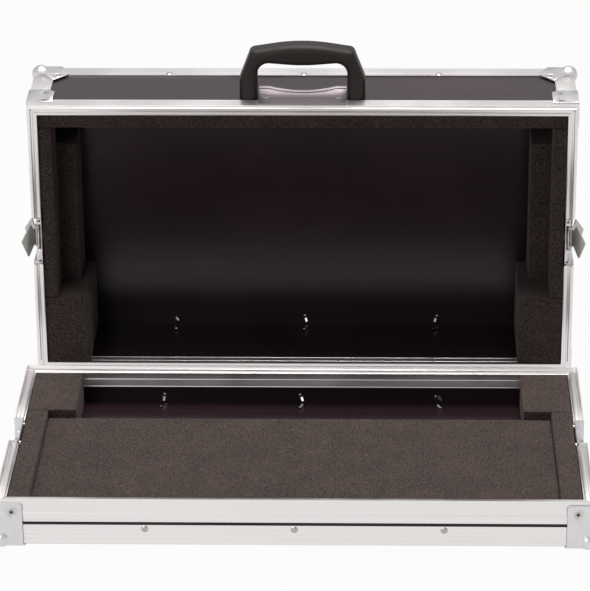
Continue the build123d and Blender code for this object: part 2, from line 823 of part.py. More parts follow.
def catch_dish_rivets():
    """Short rivets through the catch dish's floor, heads in the dish and formed tails behind it."""
    tail_x = seat - dish_sheet - dish_rivet_tail / 2
    return [rivet((seat, y, z), "X", 1, corner_rivet_head, corner_rivet_rise, dish_sheet)
            + disc(dish_rivet_tail_radius, "X", (tail_x, y, z), dish_rivet_tail / 2)
            for y, z in catch_rivet_places()]


def latch_rivet_places():
    """Where rivets go through the flange of the latch dish."""
    reach = (dish_width + dish_flange) / 2
    levels = (cover_base + cover_outer_leg + dish_flange / 2, dish_top + dish_flange / 2)
    return [(y, z) for y in (-reach, reach) for z in levels]


def latch_dish_rivets():
    """Rivets through the flange of the latch dish, with shanks that stop in the plywood."""
    face = half_w - sheet + dish_sheet
    return [rivet((face, y, z), "X", 1, dish_rivet_head, corner_rivet_rise, dish_sheet + corner_rivet_bite)
            for y, z in latch_rivet_places()]


def face_rivet_places():
    x = half_w - dish_depth + face_plate_reach / 2
    return [(x, -face_rivet_place, cover_base), (x, face_rivet_place, cover_base)]


def face_rivets():
    """Two short rivets in the latch dish's face plate."""
    return [rivet(centre, "Z", -1, face_rivet_head, corner_rivet_rise, dish_sheet + face_rivet_bite)
            for centre in face_rivet_places()]


def face_rivet_holes():
    return [disc(rivet_shank, "Z", centre, 2 * dish_sheet) for centre in face_rivet_places()]


def latch_rivet_bores():
    """Blind holes of the flange rivets in the right-hand wall of the cover."""
    return [disc(rivet_shank, "X", (half_w - sheet - corner_rivet_bite / 2, y, z), corner_rivet_bite / 2)
            for y, z in latch_rivet_places()]


def dish_rivet_holes(x, places):
    return [disc(rivet_shank, "X", (x, y, z), 2 * dish_sheet) for y, z in places]


def handle_frame(shape):
    """Moves a shape with +Z outward, the aluminium's face at z = 0 and y from the rim, to the front wall."""
    return Pos(0, -half_d, cover_base) * Rot(90, 0, 0) * shape


def rounded(face, places, radius):
    """Face with its corners at the listed x, z places rounded, on both sides of the middle."""
    corners = [v for v in face.vertices() if any(abs(abs(v.X) - x) < 0.01 and abs(v.Z - z) < 0.01
                                                 for x, z in places)]
    return fillet(corners, radius)


def handle_outline():
    """Front view of the bow handle: x across, z out from the wall."""
    outer_side = [(handle_half_base, -sheet), (handle_half_base, handle_leg_straight),
                  (handle_shoulder_half, handle_shoulder)]
    inner_side = [(handle_inner, handle_grip_end), (handle_inner, -sheet)]
    right = [*outer_side, (0, handle_crown)]
    left = [(-x, z) for x, z in reversed(outer_side)] + [(-x, z) for x, z in reversed(inner_side)]
    points = right + left + [(0, handle_grip_under)] + inner_side
    face = make_face(Polyline([(x, 0, z) for x, z in points], close=True))
    face = rounded(face, [(0, handle_crown), (0, handle_grip_under)], handle_bow_round)
    face = rounded(face, [outer_side[1]], handle_elbow_round)
    face = rounded(face, [outer_side[2]], handle_shoulder_round)
    return rounded(face, [inner_side[0]], handle_finger_round)


def handle_leg_places():
    """Bolt places in the handle's frame, two in each leg."""
    x = handle_half_base - handle_leg / 2
    return [(sx * x, handle_depth + sy * handle_bolt_spacing / 2) for sx in (-1, 1) for sy in (-1, 1)]


def handle_long_edges(body):
    """Edges of the bow's two flat faces, apart from those on the wall."""
    return [e for e in body.edges()
            if abs(abs(e.center().Y) - handle_thick / 2) < 0.01 and e.center().Z > -sheet + 0.5]


def handle_bow():
    """Moulded bow handle with rounded edges and a blind bore for each bolt."""
    half = handle_thick / 2
    body = extrude(handle_outline(), half, both=True, dir=(0, 1, 0))
    outside = [e for e in handle_long_edges(body)
               if e.center().Z > handle_grip_under + 4 or abs(e.center().X) > handle_inner + 5]
    body = fillet(outside, handle_edge_round)
    inside = [e for e in handle_long_edges(body)
              if abs(e.center().X) < handle_inner + 1 and e.center().Z < handle_grip_end]
    body = Pos(0, handle_depth, 0) * fillet(inside, handle_inner_edge_round)
    bore = handle_bolt_depth
    return body - [disc(handle_bolt_radius, "Z", (x, y, -sheet), bore) for x, y in handle_leg_places()]


def handle_bolts():
    """Bolts from inside the cover into the handle's legs."""
    made = []
    under = -wall - handle_washer_thick
    for x, y in handle_leg_places():
        length = handle_bolt_depth - sheet - under
        shank = Pos(x, y, under + length / 2) * Cylinder(handle_bolt_radius, length)
        head = Pos(x, y, under - handle_bolt_head_height) * extrude(RegularPolygon(handle_bolt_head, 6),
                                                                    handle_bolt_head_height)
        made.append(shank + head)
    return made


def handle_washers():
    """Washers under the bolt heads."""
    made = []
    for x, y in handle_leg_places():
        ring = Cylinder(handle_washer_radius, handle_washer_thick)
        ring -= Cylinder(handle_bolt_radius, 2 * handle_washer_thick)
        made.append(Pos(x, y, -wall - handle_washer_thick / 2) * ring)
    return made


def plate_rivet_places():
    return [(-plate_rivet_x, plate_rivet_y), (plate_rivet_x, plate_rivet_y)]


def plate_section(extra):
    """Side view of the plate between the legs: over the rim's leg, down to the plywood, up to the rear."""
    step = cover_outer_leg + plate_step
    low = -sheet
    t = plate_sheet
    return [(plate_front_edge, 0), (step - t / 2, 0), (step + t / 2, low), (plate_fold, low),
            (plate_rear_edge, low + plate_ramp_rise), (plate_rear_edge, low + plate_ramp_rise + t + extra),
            (plate_fold, low + t + extra), (step + t, low + t + extra), (step, t + extra),
            (plate_front_edge, t + extra)]


def handle_plate():
    """Steel plate between the legs. Its rear edge slopes up, is cut back in a shallow arc and has a hem."""
    half = handle_inner - plate_side_gap

    def bent(extra):
        face = make_face(Polyline([(0, y, z) for y, z in plate_section(extra)], close=True))
        return extrude(face, half, both=True, dir=(1, 0, 0))

    reach = half - plate_straight
    radius = (reach ** 2 + plate_cut ** 2) / (2 * plate_cut)
    centre = (0, plate_rear_edge - plate_cut + radius, 0)
    tall = handle_crown
    hollow = disc(radius, "Z", centre, tall)
    edge_zone = disc(radius + hem_width, "Z", centre, tall)
    edge_zone += block(-half, half, plate_rear_edge - hem_width, plate_rear_edge, -tall, tall)
    hem = bent(hem_thick) & edge_zone
    holes = [disc(rivet_shank, "Z", (x, y, 0), tall) for x, y in plate_rivet_places()]
    return (bent(0) + hem) - hollow - holes


def plate_rivets():
    """Rivets that hold the plate to the plywood."""
    level, grip = plate_sheet - sheet, plate_sheet + corner_rivet_bite
    return [rivet((x, y, level), "Z", 1, corner_rivet_head, corner_rivet_rise, grip)
            for x, y in plate_rivet_places()]


def handle_holes():
    """Bolt and rivet holes in the cover's front wall."""
    holes = [disc(handle_bolt_radius, "Z", (x, y, -wall), wall + 1) for x, y in handle_leg_places()]
    holes += [disc(rivet_shank, "Z", (x, y, -sheet), corner_rivet_bite) for x, y in plate_rivet_places()]
    return [handle_frame(hole) for hole in holes]


def handle_pockets():
    """Room for the washers and bolt heads in the foam behind the front wall."""
    radius = handle_washer_radius + hardware_pocket_gap
    depth = handle_washer_thick + handle_bolt_head_height + hardware_pocket_gap
    return [handle_frame(disc(radius, "Z", (x, y, -wall), depth)) for x, y in handle_leg_places()]


def tray_foam():
    """Side strips, rear blocks and the pad that the instrument lies on."""
    g = foam_gap
    x_rim = half_w - rim_width - g
    rear = half_d - rim_width - g
    front = -rear
    top = parting - foam_below_lip
    low = tray_floor
    block_front = half_d - wall - rear_block_length
    x_block = half_w - wall - rear_block_width
    x_strip = half_w - wall - side_foam
    strip = block(x_strip, x_rim, front, block_front - g, low, top)
    corner = block(x_block, x_rim, block_front, rear, low, top)
    half_dish = dish_width / 2 + g
    pocket = block(latch_back - hardware_pocket_gap, half_w, -half_dish, half_dish, 0, parting)
    pad = block(-x_strip + g, x_strip - g, front, block_front - g, low, parting - pad_below_lip)
    return both_sides(strip - pocket), both_sides(corner), pad - prong_pockets(-half_d + wall, low)


def prong_pockets(wall_face, floor):
    """Room in the pad for the prongs of the rivets in the tray's front wall and floor."""
    radius = prong_length + hardware_pocket_gap
    depth = prong_drop + prong_thick + hardware_pocket_gap
    found = []
    for x in (-case_width / 4, 0, case_width / 4):
        found.append(disc(radius, "Y", (x, wall_face, rivet_inset - sheet), depth))
        found.append(disc(radius, "Z", (x, -half_d + rivet_inset, floor), depth))
    return found


def cover_foam():
    """Front strip, side strips, inner side pads and rear corner blocks, on the closed case."""
    g = foam_gap
    clear = flange + 2 * step_rise + 0.2
    x_wall = half_w - wall - g - clear
    front = -(half_d - wall - g - clear)
    rear = half_d - wall - g - clear
    low = cover_base + foam_rim_gap
    mid = low + cover_strip_depth
    high = cover_ceiling - g
    x_strip = half_w - wall - cover_strip
    strip_front = -(half_d - wall) + cover_front_strip
    block_front = half_d - wall - cover_block_length
    front_strip = block(-x_wall, x_wall, front, strip_front, low, mid) - handle_pockets()
    side = block(x_strip, x_wall, strip_front + g, block_front - g, low, mid)
    half_dish = dish_width / 2 + g
    side -= block(latch_back - hardware_pocket_gap, half_w, -half_dish, half_dish, 0, cover_top)
    inner = block(half_w - wall - inner_pad, x_wall, block_front - g - inner_pad_length, block_front - g,
                  mid + g, high)
    corner = block(half_w - wall - cover_block_width, x_wall, block_front, rear, low, high)
    for place in (-case_width / 4, 0, case_width / 4):
        corner -= disc(prong_length + hardware_pocket_gap, "Y", (place, rear, cover_top - rivet_inset), 5)
    return front_strip, both_sides(side), both_sides(inner), both_sides(corner)


def write(name, *shapes):
    """Writes one piece, or a group of equal pieces, as parts/NAME.step."""
    found = [to_origin * solid for solid in solids(*shapes)]
    shape = found[0] if len(found) == 1 else Compound(children=found)
    shape.label = name
    export_step(shape, "parts/" + name + ".step")


def write_cover(name, *shapes):
    """Writes a piece of the cover where the cover stands."""
    write(name, [standing * solid for solid in solids(*shapes)])


def write_tray():
    holes = tray_holes()
    for side, panel in tray_panels().items():
        write("tray_" + side + "_panel", bored(panel, holes))
    for side, rim in tray_rims().items():
        write("tray_rim_" + side, [bored(bar, holes) for bar in rim.solids()])
    write("tray_long_edge_angles", [bored(tray_angle(side), holes) for side in ("front", "rear")])
    write("tray_side_edge_angles", [bored(tray_angle(side), holes) for side in ("left", "right")])
    write("tray_ball_corners", four_corners(tray_ball_corner()))
    write("tray_edge_rivets", edge_rivets(floor_ply))
    corner = corner_rivets(tray_corner_holes(), corner_sheet)
    write("tray_corner_rivets", [four_corners(r) for r in corner])
    strips, corners, pad = tray_foam()
    write("tray_foam_strips", strips)
    write("tray_foam_corner_blocks", corners)
    write("tray_foam_pad", pad)
    right = bored(catch_dish(), dish_rivet_holes(seat, catch_rivet_places()))
    for name, shape in zip(("right", "left"), both_sides(right)):
        write(name + "_catch_dish", shape)
    write("catch_dish_rivets", [both_sides(r) for r in catch_dish_rivets()])


def write_cover_case():
    holes = cover_holes()
    latch_bores = [bore for right in latch_rivet_bores() for bore in both_sides(right)]
    extra = {"front": handle_holes(), "left": latch_bores, "right": latch_bores}
    for side, panel in cover_panels().items():
        write_cover("cover_" + side + "_panel", bored(panel, holes + extra.get(side, [])))
    for side, rim in cover_rims().items():
        write_cover("cover_rim_" + side, [bored(bar, holes + mitre_notches()) for bar in rim.solids()])
    long_angles = [to_cover(tray_angle(side)) for side in ("front", "rear")]
    side_angles = [to_cover(tray_angle(side)) for side in ("left", "right")]
    write_cover("cover_long_edge_angles", [bored(a, holes) for a in long_angles])
    write_cover("cover_side_edge_angles", [bored(a, holes) for a in side_angles])
    write_cover("cover_corner_angles", [bored(a, holes) for a in four_corners(cover_corner_angle())])
    write_cover("cover_ball_corners", four_corners(cover_ball_corner()))
    write_cover("cover_rim_braces", four_corners(rim_brace()))
    write_cover("cover_edge_rivets", [to_cover(r) for r in edge_rivets(cover_ply)])
    corner = [to_cover(r) for r in corner_rivets(cover_corner_holes(), corner_sheet)]
    write_cover("cover_corner_rivets", [four_corners(r) for r in corner])
    write_cover("cover_brace_rivets", [four_corners(r) for r in corner_rivets(brace_holes(), corner_sheet)])
    front_strip, side_strips, inner_pads, corner_blocks = cover_foam()
    write_cover("cover_foam_front_strip", front_strip)
    write_cover("cover_foam_side_strips", side_strips)
    write_cover("cover_foam_inner_pads", inner_pads)
    write_cover("cover_foam_corner_blocks", corner_blocks)


def write_latches():
    right = bored(cover_dish(), dish_rivet_holes(half_w - sheet, latch_rivet_places()))
    turner = unlocked(latch_turner())
    pins = [unlocked(pin) for pin in wing_pins()]
    wings = {"front_wing": unlocked(wing(-1)), "rear_wing": unlocked(wing(1))}
    for index, name in enumerate(("right", "left")):
        write_cover(name + "_latch_dish", both_sides(right)[index])
        write_cover(name + "_latch_turner", both_sides(turner)[index])
        write_cover(name + "_latch_wing_pins", [both_sides(pin)[index] for pin in pins])
        for piece, shape in wings.items():
            write_cover(name + "_latch_" + piece, both_sides(shape)[index])
    write_cover("latch_dish_rivets", [both_sides(r) for r in latch_dish_rivets() + face_rivets()])


def write_handle():
    write_cover("handle_bow", handle_frame(handle_bow()))
    write_cover("handle_plate", handle_frame(handle_plate()))
    write_cover("handle_plate_rivets", [handle_frame(r) for r in plate_rivets()])
    write_cover("handle_bolts", [handle_frame(bolt) for bolt in handle_bolts()])
    write_cover("handle_washers", [handle_frame(washer) for washer in handle_washers()])


def main():
    os.makedirs("parts", exist_ok=True)
    write_tray()
    write_cover_case()
    write_latches()
    write_handle()
    print("cover leans forward by", round(lean, 3), "degrees; it closes in a turn of", round(swing, 3))
    centre = (to_origin * Pos(0, pivot_y, pivot_z)).position
    print("turning centre y", round(centre.Y, 3), "z", round(centre.Z, 3))
    for side in (-1, 0, 1):
        pin = (to_origin * standing * Pos(pin_x, 0, spindle_level + side * pin_offset)).position
        print("latch axis x", round(pin.X, 3), "y", round(pin.Y, 3), "z", round(pin.Z, 3))


main()
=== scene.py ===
import json
from math import cos, pi, radians, sin

import bmesh
import bpy
import numpy as np
from bpy.props import FloatProperty, FloatVectorProperty, PointerProperty
from bpy.types import Operator, Panel, PropertyGroup
from mathutils import Matrix, Vector

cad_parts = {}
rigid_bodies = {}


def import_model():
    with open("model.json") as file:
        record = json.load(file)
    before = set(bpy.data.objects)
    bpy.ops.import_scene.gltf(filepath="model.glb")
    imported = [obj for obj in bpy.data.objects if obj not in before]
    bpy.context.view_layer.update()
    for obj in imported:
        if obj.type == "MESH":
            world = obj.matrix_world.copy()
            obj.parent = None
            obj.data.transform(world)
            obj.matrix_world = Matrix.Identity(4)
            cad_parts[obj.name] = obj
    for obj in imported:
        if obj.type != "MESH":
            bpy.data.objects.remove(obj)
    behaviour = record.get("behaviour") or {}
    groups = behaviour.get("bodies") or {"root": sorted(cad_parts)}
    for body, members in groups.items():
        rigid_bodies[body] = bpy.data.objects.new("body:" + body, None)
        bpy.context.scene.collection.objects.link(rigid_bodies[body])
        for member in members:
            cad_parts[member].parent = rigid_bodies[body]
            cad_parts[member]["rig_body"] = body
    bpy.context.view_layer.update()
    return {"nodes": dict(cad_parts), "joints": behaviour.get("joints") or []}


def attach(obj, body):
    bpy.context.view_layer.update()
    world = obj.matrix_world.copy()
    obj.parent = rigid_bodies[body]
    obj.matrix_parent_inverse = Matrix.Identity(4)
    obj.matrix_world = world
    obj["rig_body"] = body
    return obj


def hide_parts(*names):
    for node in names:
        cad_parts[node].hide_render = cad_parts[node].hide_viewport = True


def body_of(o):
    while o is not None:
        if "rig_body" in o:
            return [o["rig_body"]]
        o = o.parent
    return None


bl_info = {
    "name": "Synthesizer Flight Case",
    "version": (1, 0, 0),
    "blender": (4, 5, 0),
    "location": "View3D > Sidebar > Flight Case",
    "description": "Finishes an open flight case: aluminium, panels, corners, foam, latches and handle",
    "category": "Object",
}

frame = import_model()
nodes = frame["nodes"]

MM = 0.001
WHITE = (1.0, 1.0, 1.0, 1.0)

# Patterns, in features to the metre, because Object coordinates are in metres
DIE_LINES_ACROSS = 420.0  # 2.4 mm apart
DIE_LINES_ALONG = 0.7  # 1.4 m long
HANDLING_MARKS = 14.0  # 70 mm
VENEER_FIGURE = (9.0, 60.0, 60.0)  # 110 mm along X, 17 mm across it
FILM_CLOUDS = 5.0  # 200 mm
FILM_MESH = 900.0  # 1.1 mm
FOAM_CELLS = 1000.0  # 1.0 mm
FOAM_GRIT = 750.0  # 1.3 mm
FOAM_PATCHES = 26.0  # 38 mm
MOULD_GRAIN = 1400.0  # 0.7 mm
WORN_PATCHES = 30.0  # 33 mm
ORANGE_PEEL = 260.0  # 3.8 mm
PLATING_CLOUDS = 70.0  # 14 mm

# Most of a noise texture's values lie between these two
NOISE_LOW = 0.3
NOISE_HIGH = 0.7

# Roughness of each finish, in its smoothest and in its roughest places
ALUMINIUM_ROUGHNESS = (0.32, 0.42)
FILM_ROUGHNESS = (0.20, 0.28)
PLASTIC_ROUGHNESS = (0.46, 0.58)
CORNER_ROUGHNESS = (0.27, 0.38)
DISH_ROUGHNESS = (0.25, 0.38)
LATCH_ROUGHNESS = (0.46, 0.58)
HANDLE_PLATE_ROUGHNESS = (0.40, 0.52)
RIVET_ROUGHNESS = (0.13, 0.22)

# Meshes: corners nearer than a weld distance, in metres, become one. On a CAD node's copy, faces that turn
# by less than the flat angle become one too, and edges that turn by more than the rounded angle are rounded.
WELD_DISTANCE = 1e-6
CAD_WELD_DISTANCE = 2e-6
FLAT_ANGLE = radians(0.6)
ROUNDED_ANGLE = radians(32)
BEVEL_SEGMENTS = 2

# Foam: the shares of long waves and of fine grain in a face's unevenness, and the waves' length in metres.
# Each wave is a random part of that length, within the spread. A point beyond the face band, as a share of
# half the block, is on a face. The dish room is the gap that the foam leaves round a dish, in X, Y and Z.
WAVE_SHARE = 0.3
GRAIN_SHARE = 0.2
WAVE_COUNT = 5
WAVE_LENGTH = 0.09
WAVE_SPREAD = (0.6, 1.7)
FACE_BAND = 0.97
DISH_ROOM = np.array([1.6 * MM, 2.5 * MM, 2.5 * MM])

# Rivets: the rise is the height of the construction's heads, and the points beyond the foot band are their
# widest. Numbers with no unit, apart from the steps round a turn, are shares of a head's radius.
RIVET_RISE = 0.65 * MM
FOOT_BAND = 0.97
SEAT_MIDDLE = 1.5
SEAT_HALF_WIDTH = 0.28
SEAT_RISE = 0.6 * MM
ROLL_MIDDLE = 0.52
ROLL_RADIUS = 0.09
# Painted shade: a dark lid of this radius stands for a tubular rivet's hollow
HOLLOW_SHADE_RADIUS = 0.47
LID_OVER_DOME = 0.05 * MM
LID_UNDER_DOME = 0.2 * MM
SEAT_STEPS = 12
ROLL_STEPS = 10
TURN_STEPS = 28

# Stage: places and sizes in metres, powers in watts, turns in degrees, and the sensor in millimetres
FLOOR_HALF = 8.0
SOFTBOXES = {
    "top_softbox": {"place": (0.1, 0.4, 2.3), "target": (0.0, 0.0, 0.1), "size": 1.4, "power": 43.0},
    "front_softbox": {"place": (-1.3, -2.6, 1.2), "target": (0.0, 0.0, 0.15), "size": 1.4, "power": 13.0},
}
CAMERA_PLACE = (0.0839, -3.2043, 1.5396)
CAMERA_PITCH = 23.153
CAMERA_YAW = -1.594
CAMERA_ROLL = -0.432
SENSOR_WIDTH = 36.0
VIEW_END = 60.0

# How much of the plain white floor and surroundings the camera and the metal see. A mirrored ray below the
# first depth starts on something that the camera itself sees.
FLOOR_FOR_CAMERA = 0.965
FLOOR_FOR_METAL = 0.88
FIRST_DEPTH = 1.5
WORLD_FOR_METAL = 0.60
WORLD_FOR_ALL = 0.04


# Where things are

def closing_turn():
    """The turn that closes the case, as a 4x4 matrix, from the frame's stand-in hinge."""
    joint = next(j for j in frame["joints"] if j["name"] == "cover_closing")
    centre = Matrix.Translation(joint["pos_m"])
    return centre @ Matrix.Rotation(radians(joint["range_deg"][1]), 4, "X") @ centre.inverted()


def moved(points, matrix):
    """Points, as an array of rows, taken through a 4x4 matrix."""
    grid = np.array(matrix)
    return points @ grid[:3, :3].T + grid[:3, 3]


def node_points(node, matrix=None):
    """Corners of a CAD node's mesh, taken through a matrix if one is given."""
    mesh = nodes[node].data
    points = np.empty(len(mesh.vertices) * 3)
    mesh.vertices.foreach_get("co", points)
    points = points.reshape(-1, 3)
    return points if matrix is None else moved(points, matrix)


def extent(points):
    """Lowest and highest corner of the box round some points."""
    return points.min(axis=0), points.max(axis=0)


def solid_boxes(node, matrix=None):
    """Boxes of a foam node's solids: the left one and the right one of a pair, or the only one."""
    points = node_points(node, matrix)
    if node.endswith("s"):
        return [extent(points[points[:, 0] < 0]), extent(points[points[:, 0] > 0])]
    return [extent(points)]


def islands(node, matrix=None):
    """Points of each separate solid of a CAD node.

    Corners that agree to the micrometre are one. Every corner starts as a group of its own, and groups that
    an edge joins take the lower number until nothing changes.
    """
    points = node_points(node)
    _, corner = np.unique(np.round(points, 6), axis=0, return_inverse=True)
    corner = corner.ravel()
    mesh = nodes[node].data
    ends = np.empty(2 * len(mesh.edges), dtype=int)
    mesh.edges.foreach_get("vertices", ends)
    first, second = corner[ends].reshape(-1, 2).T
    group = np.arange(corner.max() + 1)
    changed = True
    while changed:
        least = np.minimum(group[first], group[second])
        joined = group.copy()
        np.minimum.at(joined, first, least)
        np.minimum.at(joined, second, least)
        changed = bool((joined != group).any())
        group = joined
    owner = group[corner]
    points = points if matrix is None else moved(points, matrix)
    return [points[owner == number] for number in np.unique(owner)]


def home(node):
    """Name of the body that a CAD node rides on."""
    return body_of(nodes[node])[0]


def is_extrusion(node):
    """Whether a CAD node is a rim extrusion or a set of edge angles."""
    return "brace" not in node and ("_rim_" in node or "_angles" in node)


def bar_axis(node):
    """Axis that an extrusion runs along in the open case."""
    if node.endswith(("_front", "_rear", "long_edge_angles")):
        return "x"
    if node == "cover_corner_angles" or node.startswith("tray"):
        return "y"
    return "z"


# Materials

def linear(code):
    """Linear red, green, blue and alpha of an sRGB hex value such as #AABBCC."""
    parts = [int(code[i:i + 2], 16) / 255 for i in (1, 3, 5)]
    return tuple(p / 12.92 if p <= 0.04045 else ((p + 0.055) / 1.055) ** 2.4 for p in parts) + (1.0,)


def add_node(owner, kind, settings=None, values=None, links=None):
    """Adds a node to a material or world.

    It gets its own settings, its sockets' values, and links from other nodes' outputs to its sockets.
    """
    tree = owner.node_tree
    node = tree.nodes.new(kind)
    for name, value in (settings or {}).items():
        setattr(node, name, value)
    for socket, value in (values or {}).items():
        node.inputs[socket].default_value = value
    for socket, (source, output) in (links or {}).items():
        tree.links.new(source.outputs[output], node.inputs[socket])
    return node


def new_material(name):
    """Empty node material and its output node."""
    material = bpy.data.materials.new(name)
    material.use_nodes = True
    material.node_tree.nodes.clear()
    return material, add_node(material, "ShaderNodeOutputMaterial")


def surface(material, output, shader):
    """Links a shader to the material's output and gives back the material."""
    material.node_tree.links.new(shader.outputs[0], output.inputs["Surface"])
    return material


def anodised_aluminium(axis):
    """Clear anodised extrusion: satin, with die lines along the bar that stretch every reflection.

    Real die lines are tenths of a millimetre apart. They are drawn 2.4 mm apart, so that they just show.
    """
    material, output = new_material("anodised_aluminium_" + axis)
    colours = bpy.context.scene.case_colours
    smooth, rough = ALUMINIUM_ROUGHNESS
    scale = tuple(DIE_LINES_ALONG if letter == axis else DIE_LINES_ACROSS for letter in "xyz")
    place = add_node(material, "ShaderNodeTexCoord")
    stretch = add_node(material, "ShaderNodeMapping",
                       values={"Scale": scale},
                       links={"Vector": (place, "Object")})
    die_lines = add_node(material, "ShaderNodeTexNoise",
                         values={"Scale": 1.0, "Detail": 2.0, "Roughness": 0.5},
                         links={"Vector": (stretch, "Vector")})
    handling = add_node(material, "ShaderNodeTexNoise",
                        values={"Scale": HANDLING_MARKS, "Detail": 5.0, "Roughness": 0.6},
                        links={"Vector": (place, "Object")})
    tint = add_node(material, "ShaderNodeMapRange",
                    values={"To Min": 0.93, "To Max": 1.03},
                    links={"Value": (die_lines, "Fac")})
    colour = add_node(material, "ShaderNodeMix",
                      settings={"data_type": "RGBA", "blend_type": "MULTIPLY"},
                      values={"Factor": 1.0, "A": colours.aluminium},
                      links={"B": (tint, "Result")})
    smear = add_node(material, "ShaderNodeMapRange",
                     values={"From Min": 0.35, "From Max": NOISE_HIGH, "To Min": smooth, "To Max": rough},
                     links={"Value": (handling, "Fac")})
    bump = add_node(material, "ShaderNodeBump",
                    values={"Strength": 0.35, "Distance": 0.08 * MM},
                    links={"Height": (die_lines, "Fac")})
    shader = add_node(material, "ShaderNodeBsdfPrincipled",
                      values={"Metallic": 1.0},
                      links={"Base Color": (colour, "Result"), "Roughness": (smear, "Result"),
                             "Normal": (bump, "Normal")})
    return surface(material, output, shader)


def film_faced_plywood():
    """Birch plywood under a dark phenolic film: purple-brown, satin gloss, with a faint pressed pattern."""
    material, output = new_material("film_faced_plywood")
    colours = bpy.context.scene.case_colours
    smooth, rough = FILM_ROUGHNESS
    place = add_node(material, "ShaderNodeTexCoord")
    veneer = add_node(material, "ShaderNodeMapping",
                      values={"Scale": VENEER_FIGURE},
                      links={"Vector": (place, "Object")})
    grain = add_node(material, "ShaderNodeTexNoise",
                     values={"Scale": 1.0, "Detail": 6.0, "Roughness": 0.65},
                     links={"Vector": (veneer, "Vector")})
    cloud = add_node(material, "ShaderNodeTexNoise",
                     values={"Scale": FILM_CLOUDS, "Detail": 3.0},
                     links={"Vector": (place, "Object")})
    film = add_node(material, "ShaderNodeTexNoise",
                    values={"Scale": FILM_MESH, "Detail": 2.0},
                    links={"Vector": (place, "Object")})
    depth = add_node(material, "ShaderNodeMath",
                     settings={"operation": "ADD"},
                     links={0: (grain, "Fac"), 1: (cloud, "Fac")})
    amount = add_node(material, "ShaderNodeMapRange",
                      values={"From Min": 0.7, "From Max": 1.3},
                      links={"Value": (depth, "Value")})
    colour = add_node(material, "ShaderNodeMix",
                      settings={"data_type": "RGBA"},
                      values={"A": colours.film_dark, "B": colours.film},
                      links={"Factor": (amount, "Result")})
    gloss = add_node(material, "ShaderNodeMapRange",
                     values={"From Min": NOISE_LOW, "From Max": NOISE_HIGH,
                             "To Min": smooth, "To Max": rough},
                     links={"Value": (cloud, "Fac")})
    height = add_node(material, "ShaderNodeMix",
                      settings={"data_type": "FLOAT"},
                      values={"Factor": 0.35},
                      links={"A": (grain, "Fac"), "B": (film, "Fac")})
    bump = add_node(material, "ShaderNodeBump",
                    values={"Strength": 0.10, "Distance": 0.1 * MM},
                    links={"Height": (height, "Result")})
    shader = add_node(material, "ShaderNodeBsdfPrincipled",
                      values={"IOR": 1.4},
                      links={"Base Color": (colour, "Result"), "Roughness": (gloss, "Result"),
                             "Normal": (bump, "Normal")})
    return surface(material, output, shader)


def open_cell_foam():
    """Charcoal polyurethane foam, sawn: matt, with the cell grain drawn as dark pores between lighter cell
    edges. The pores' darkness is painted shade in the open cells.

    Real cells are about 0.8 mm across. They are drawn at 1.0 mm, so that the grain just shows.
    """
    material, output = new_material("open_cell_foam")
    colours = bpy.context.scene.case_colours
    place = add_node(material, "ShaderNodeTexCoord")
    cells = add_node(material, "ShaderNodeTexVoronoi",
                     settings={"feature": "F1"},
                     values={"Scale": FOAM_CELLS, "Randomness": 1.0},
                     links={"Vector": (place, "Object")})
    grit = add_node(material, "ShaderNodeTexNoise",
                    values={"Scale": FOAM_GRIT, "Detail": 3.0, "Roughness": 0.65},
                    links={"Vector": (place, "Object")})
    patches = add_node(material, "ShaderNodeTexNoise",
                       values={"Scale": FOAM_PATCHES, "Detail": 5.0, "Roughness": 0.65},
                       links={"Vector": (place, "Object")})
    speckle = add_node(material, "ShaderNodeMath",
                       settings={"operation": "MULTIPLY_ADD"},
                       values={1: 0.55},
                       links={0: (cells, "Distance"), 2: (grit, "Fac")})
    amount = add_node(material, "ShaderNodeMapRange",
                      values={"From Min": 0.42, "From Max": 1.05},
                      links={"Value": (speckle, "Value")})
    # The speckle is the foam's cell grain; the ramp's dark end is painted shade in the pores
    colour = add_node(material, "ShaderNodeValToRGB",
                      links={"Fac": (amount, "Result")})
    ramp = colour.color_ramp
    ramp.elements[0].color = colours.foam_pore_shade
    ramp.elements[0].position = 0.26
    ramp.elements[1].color = colours.foam_edge
    ramp.elements[1].position = 0.78
    ramp.elements.new(0.5).color = colours.foam
    shade = add_node(material, "ShaderNodeMapRange",
                     values={"From Min": NOISE_LOW, "From Max": NOISE_HIGH, "To Min": 0.80, "To Max": 1.12},
                     links={"Value": (patches, "Fac")})
    tone = add_node(material, "ShaderNodeMix",
                    settings={"data_type": "RGBA", "blend_type": "MULTIPLY"},
                    values={"Factor": 1.0},
                    links={"A": (colour, "Color"), "B": (shade, "Result")})
    bump = add_node(material, "ShaderNodeBump",
                    values={"Strength": 0.6, "Distance": 1.0 * MM},
                    links={"Height": (speckle, "Value")})
    shader = add_node(material, "ShaderNodeBsdfPrincipled",
                      values={"Roughness": 0.95, "Specular IOR Level": 0.25, "Sheen Weight": 0.12},
                      links={"Base Color": (tone, "Result"), "Normal": (bump, "Normal")})
    return surface(material, output, shader)


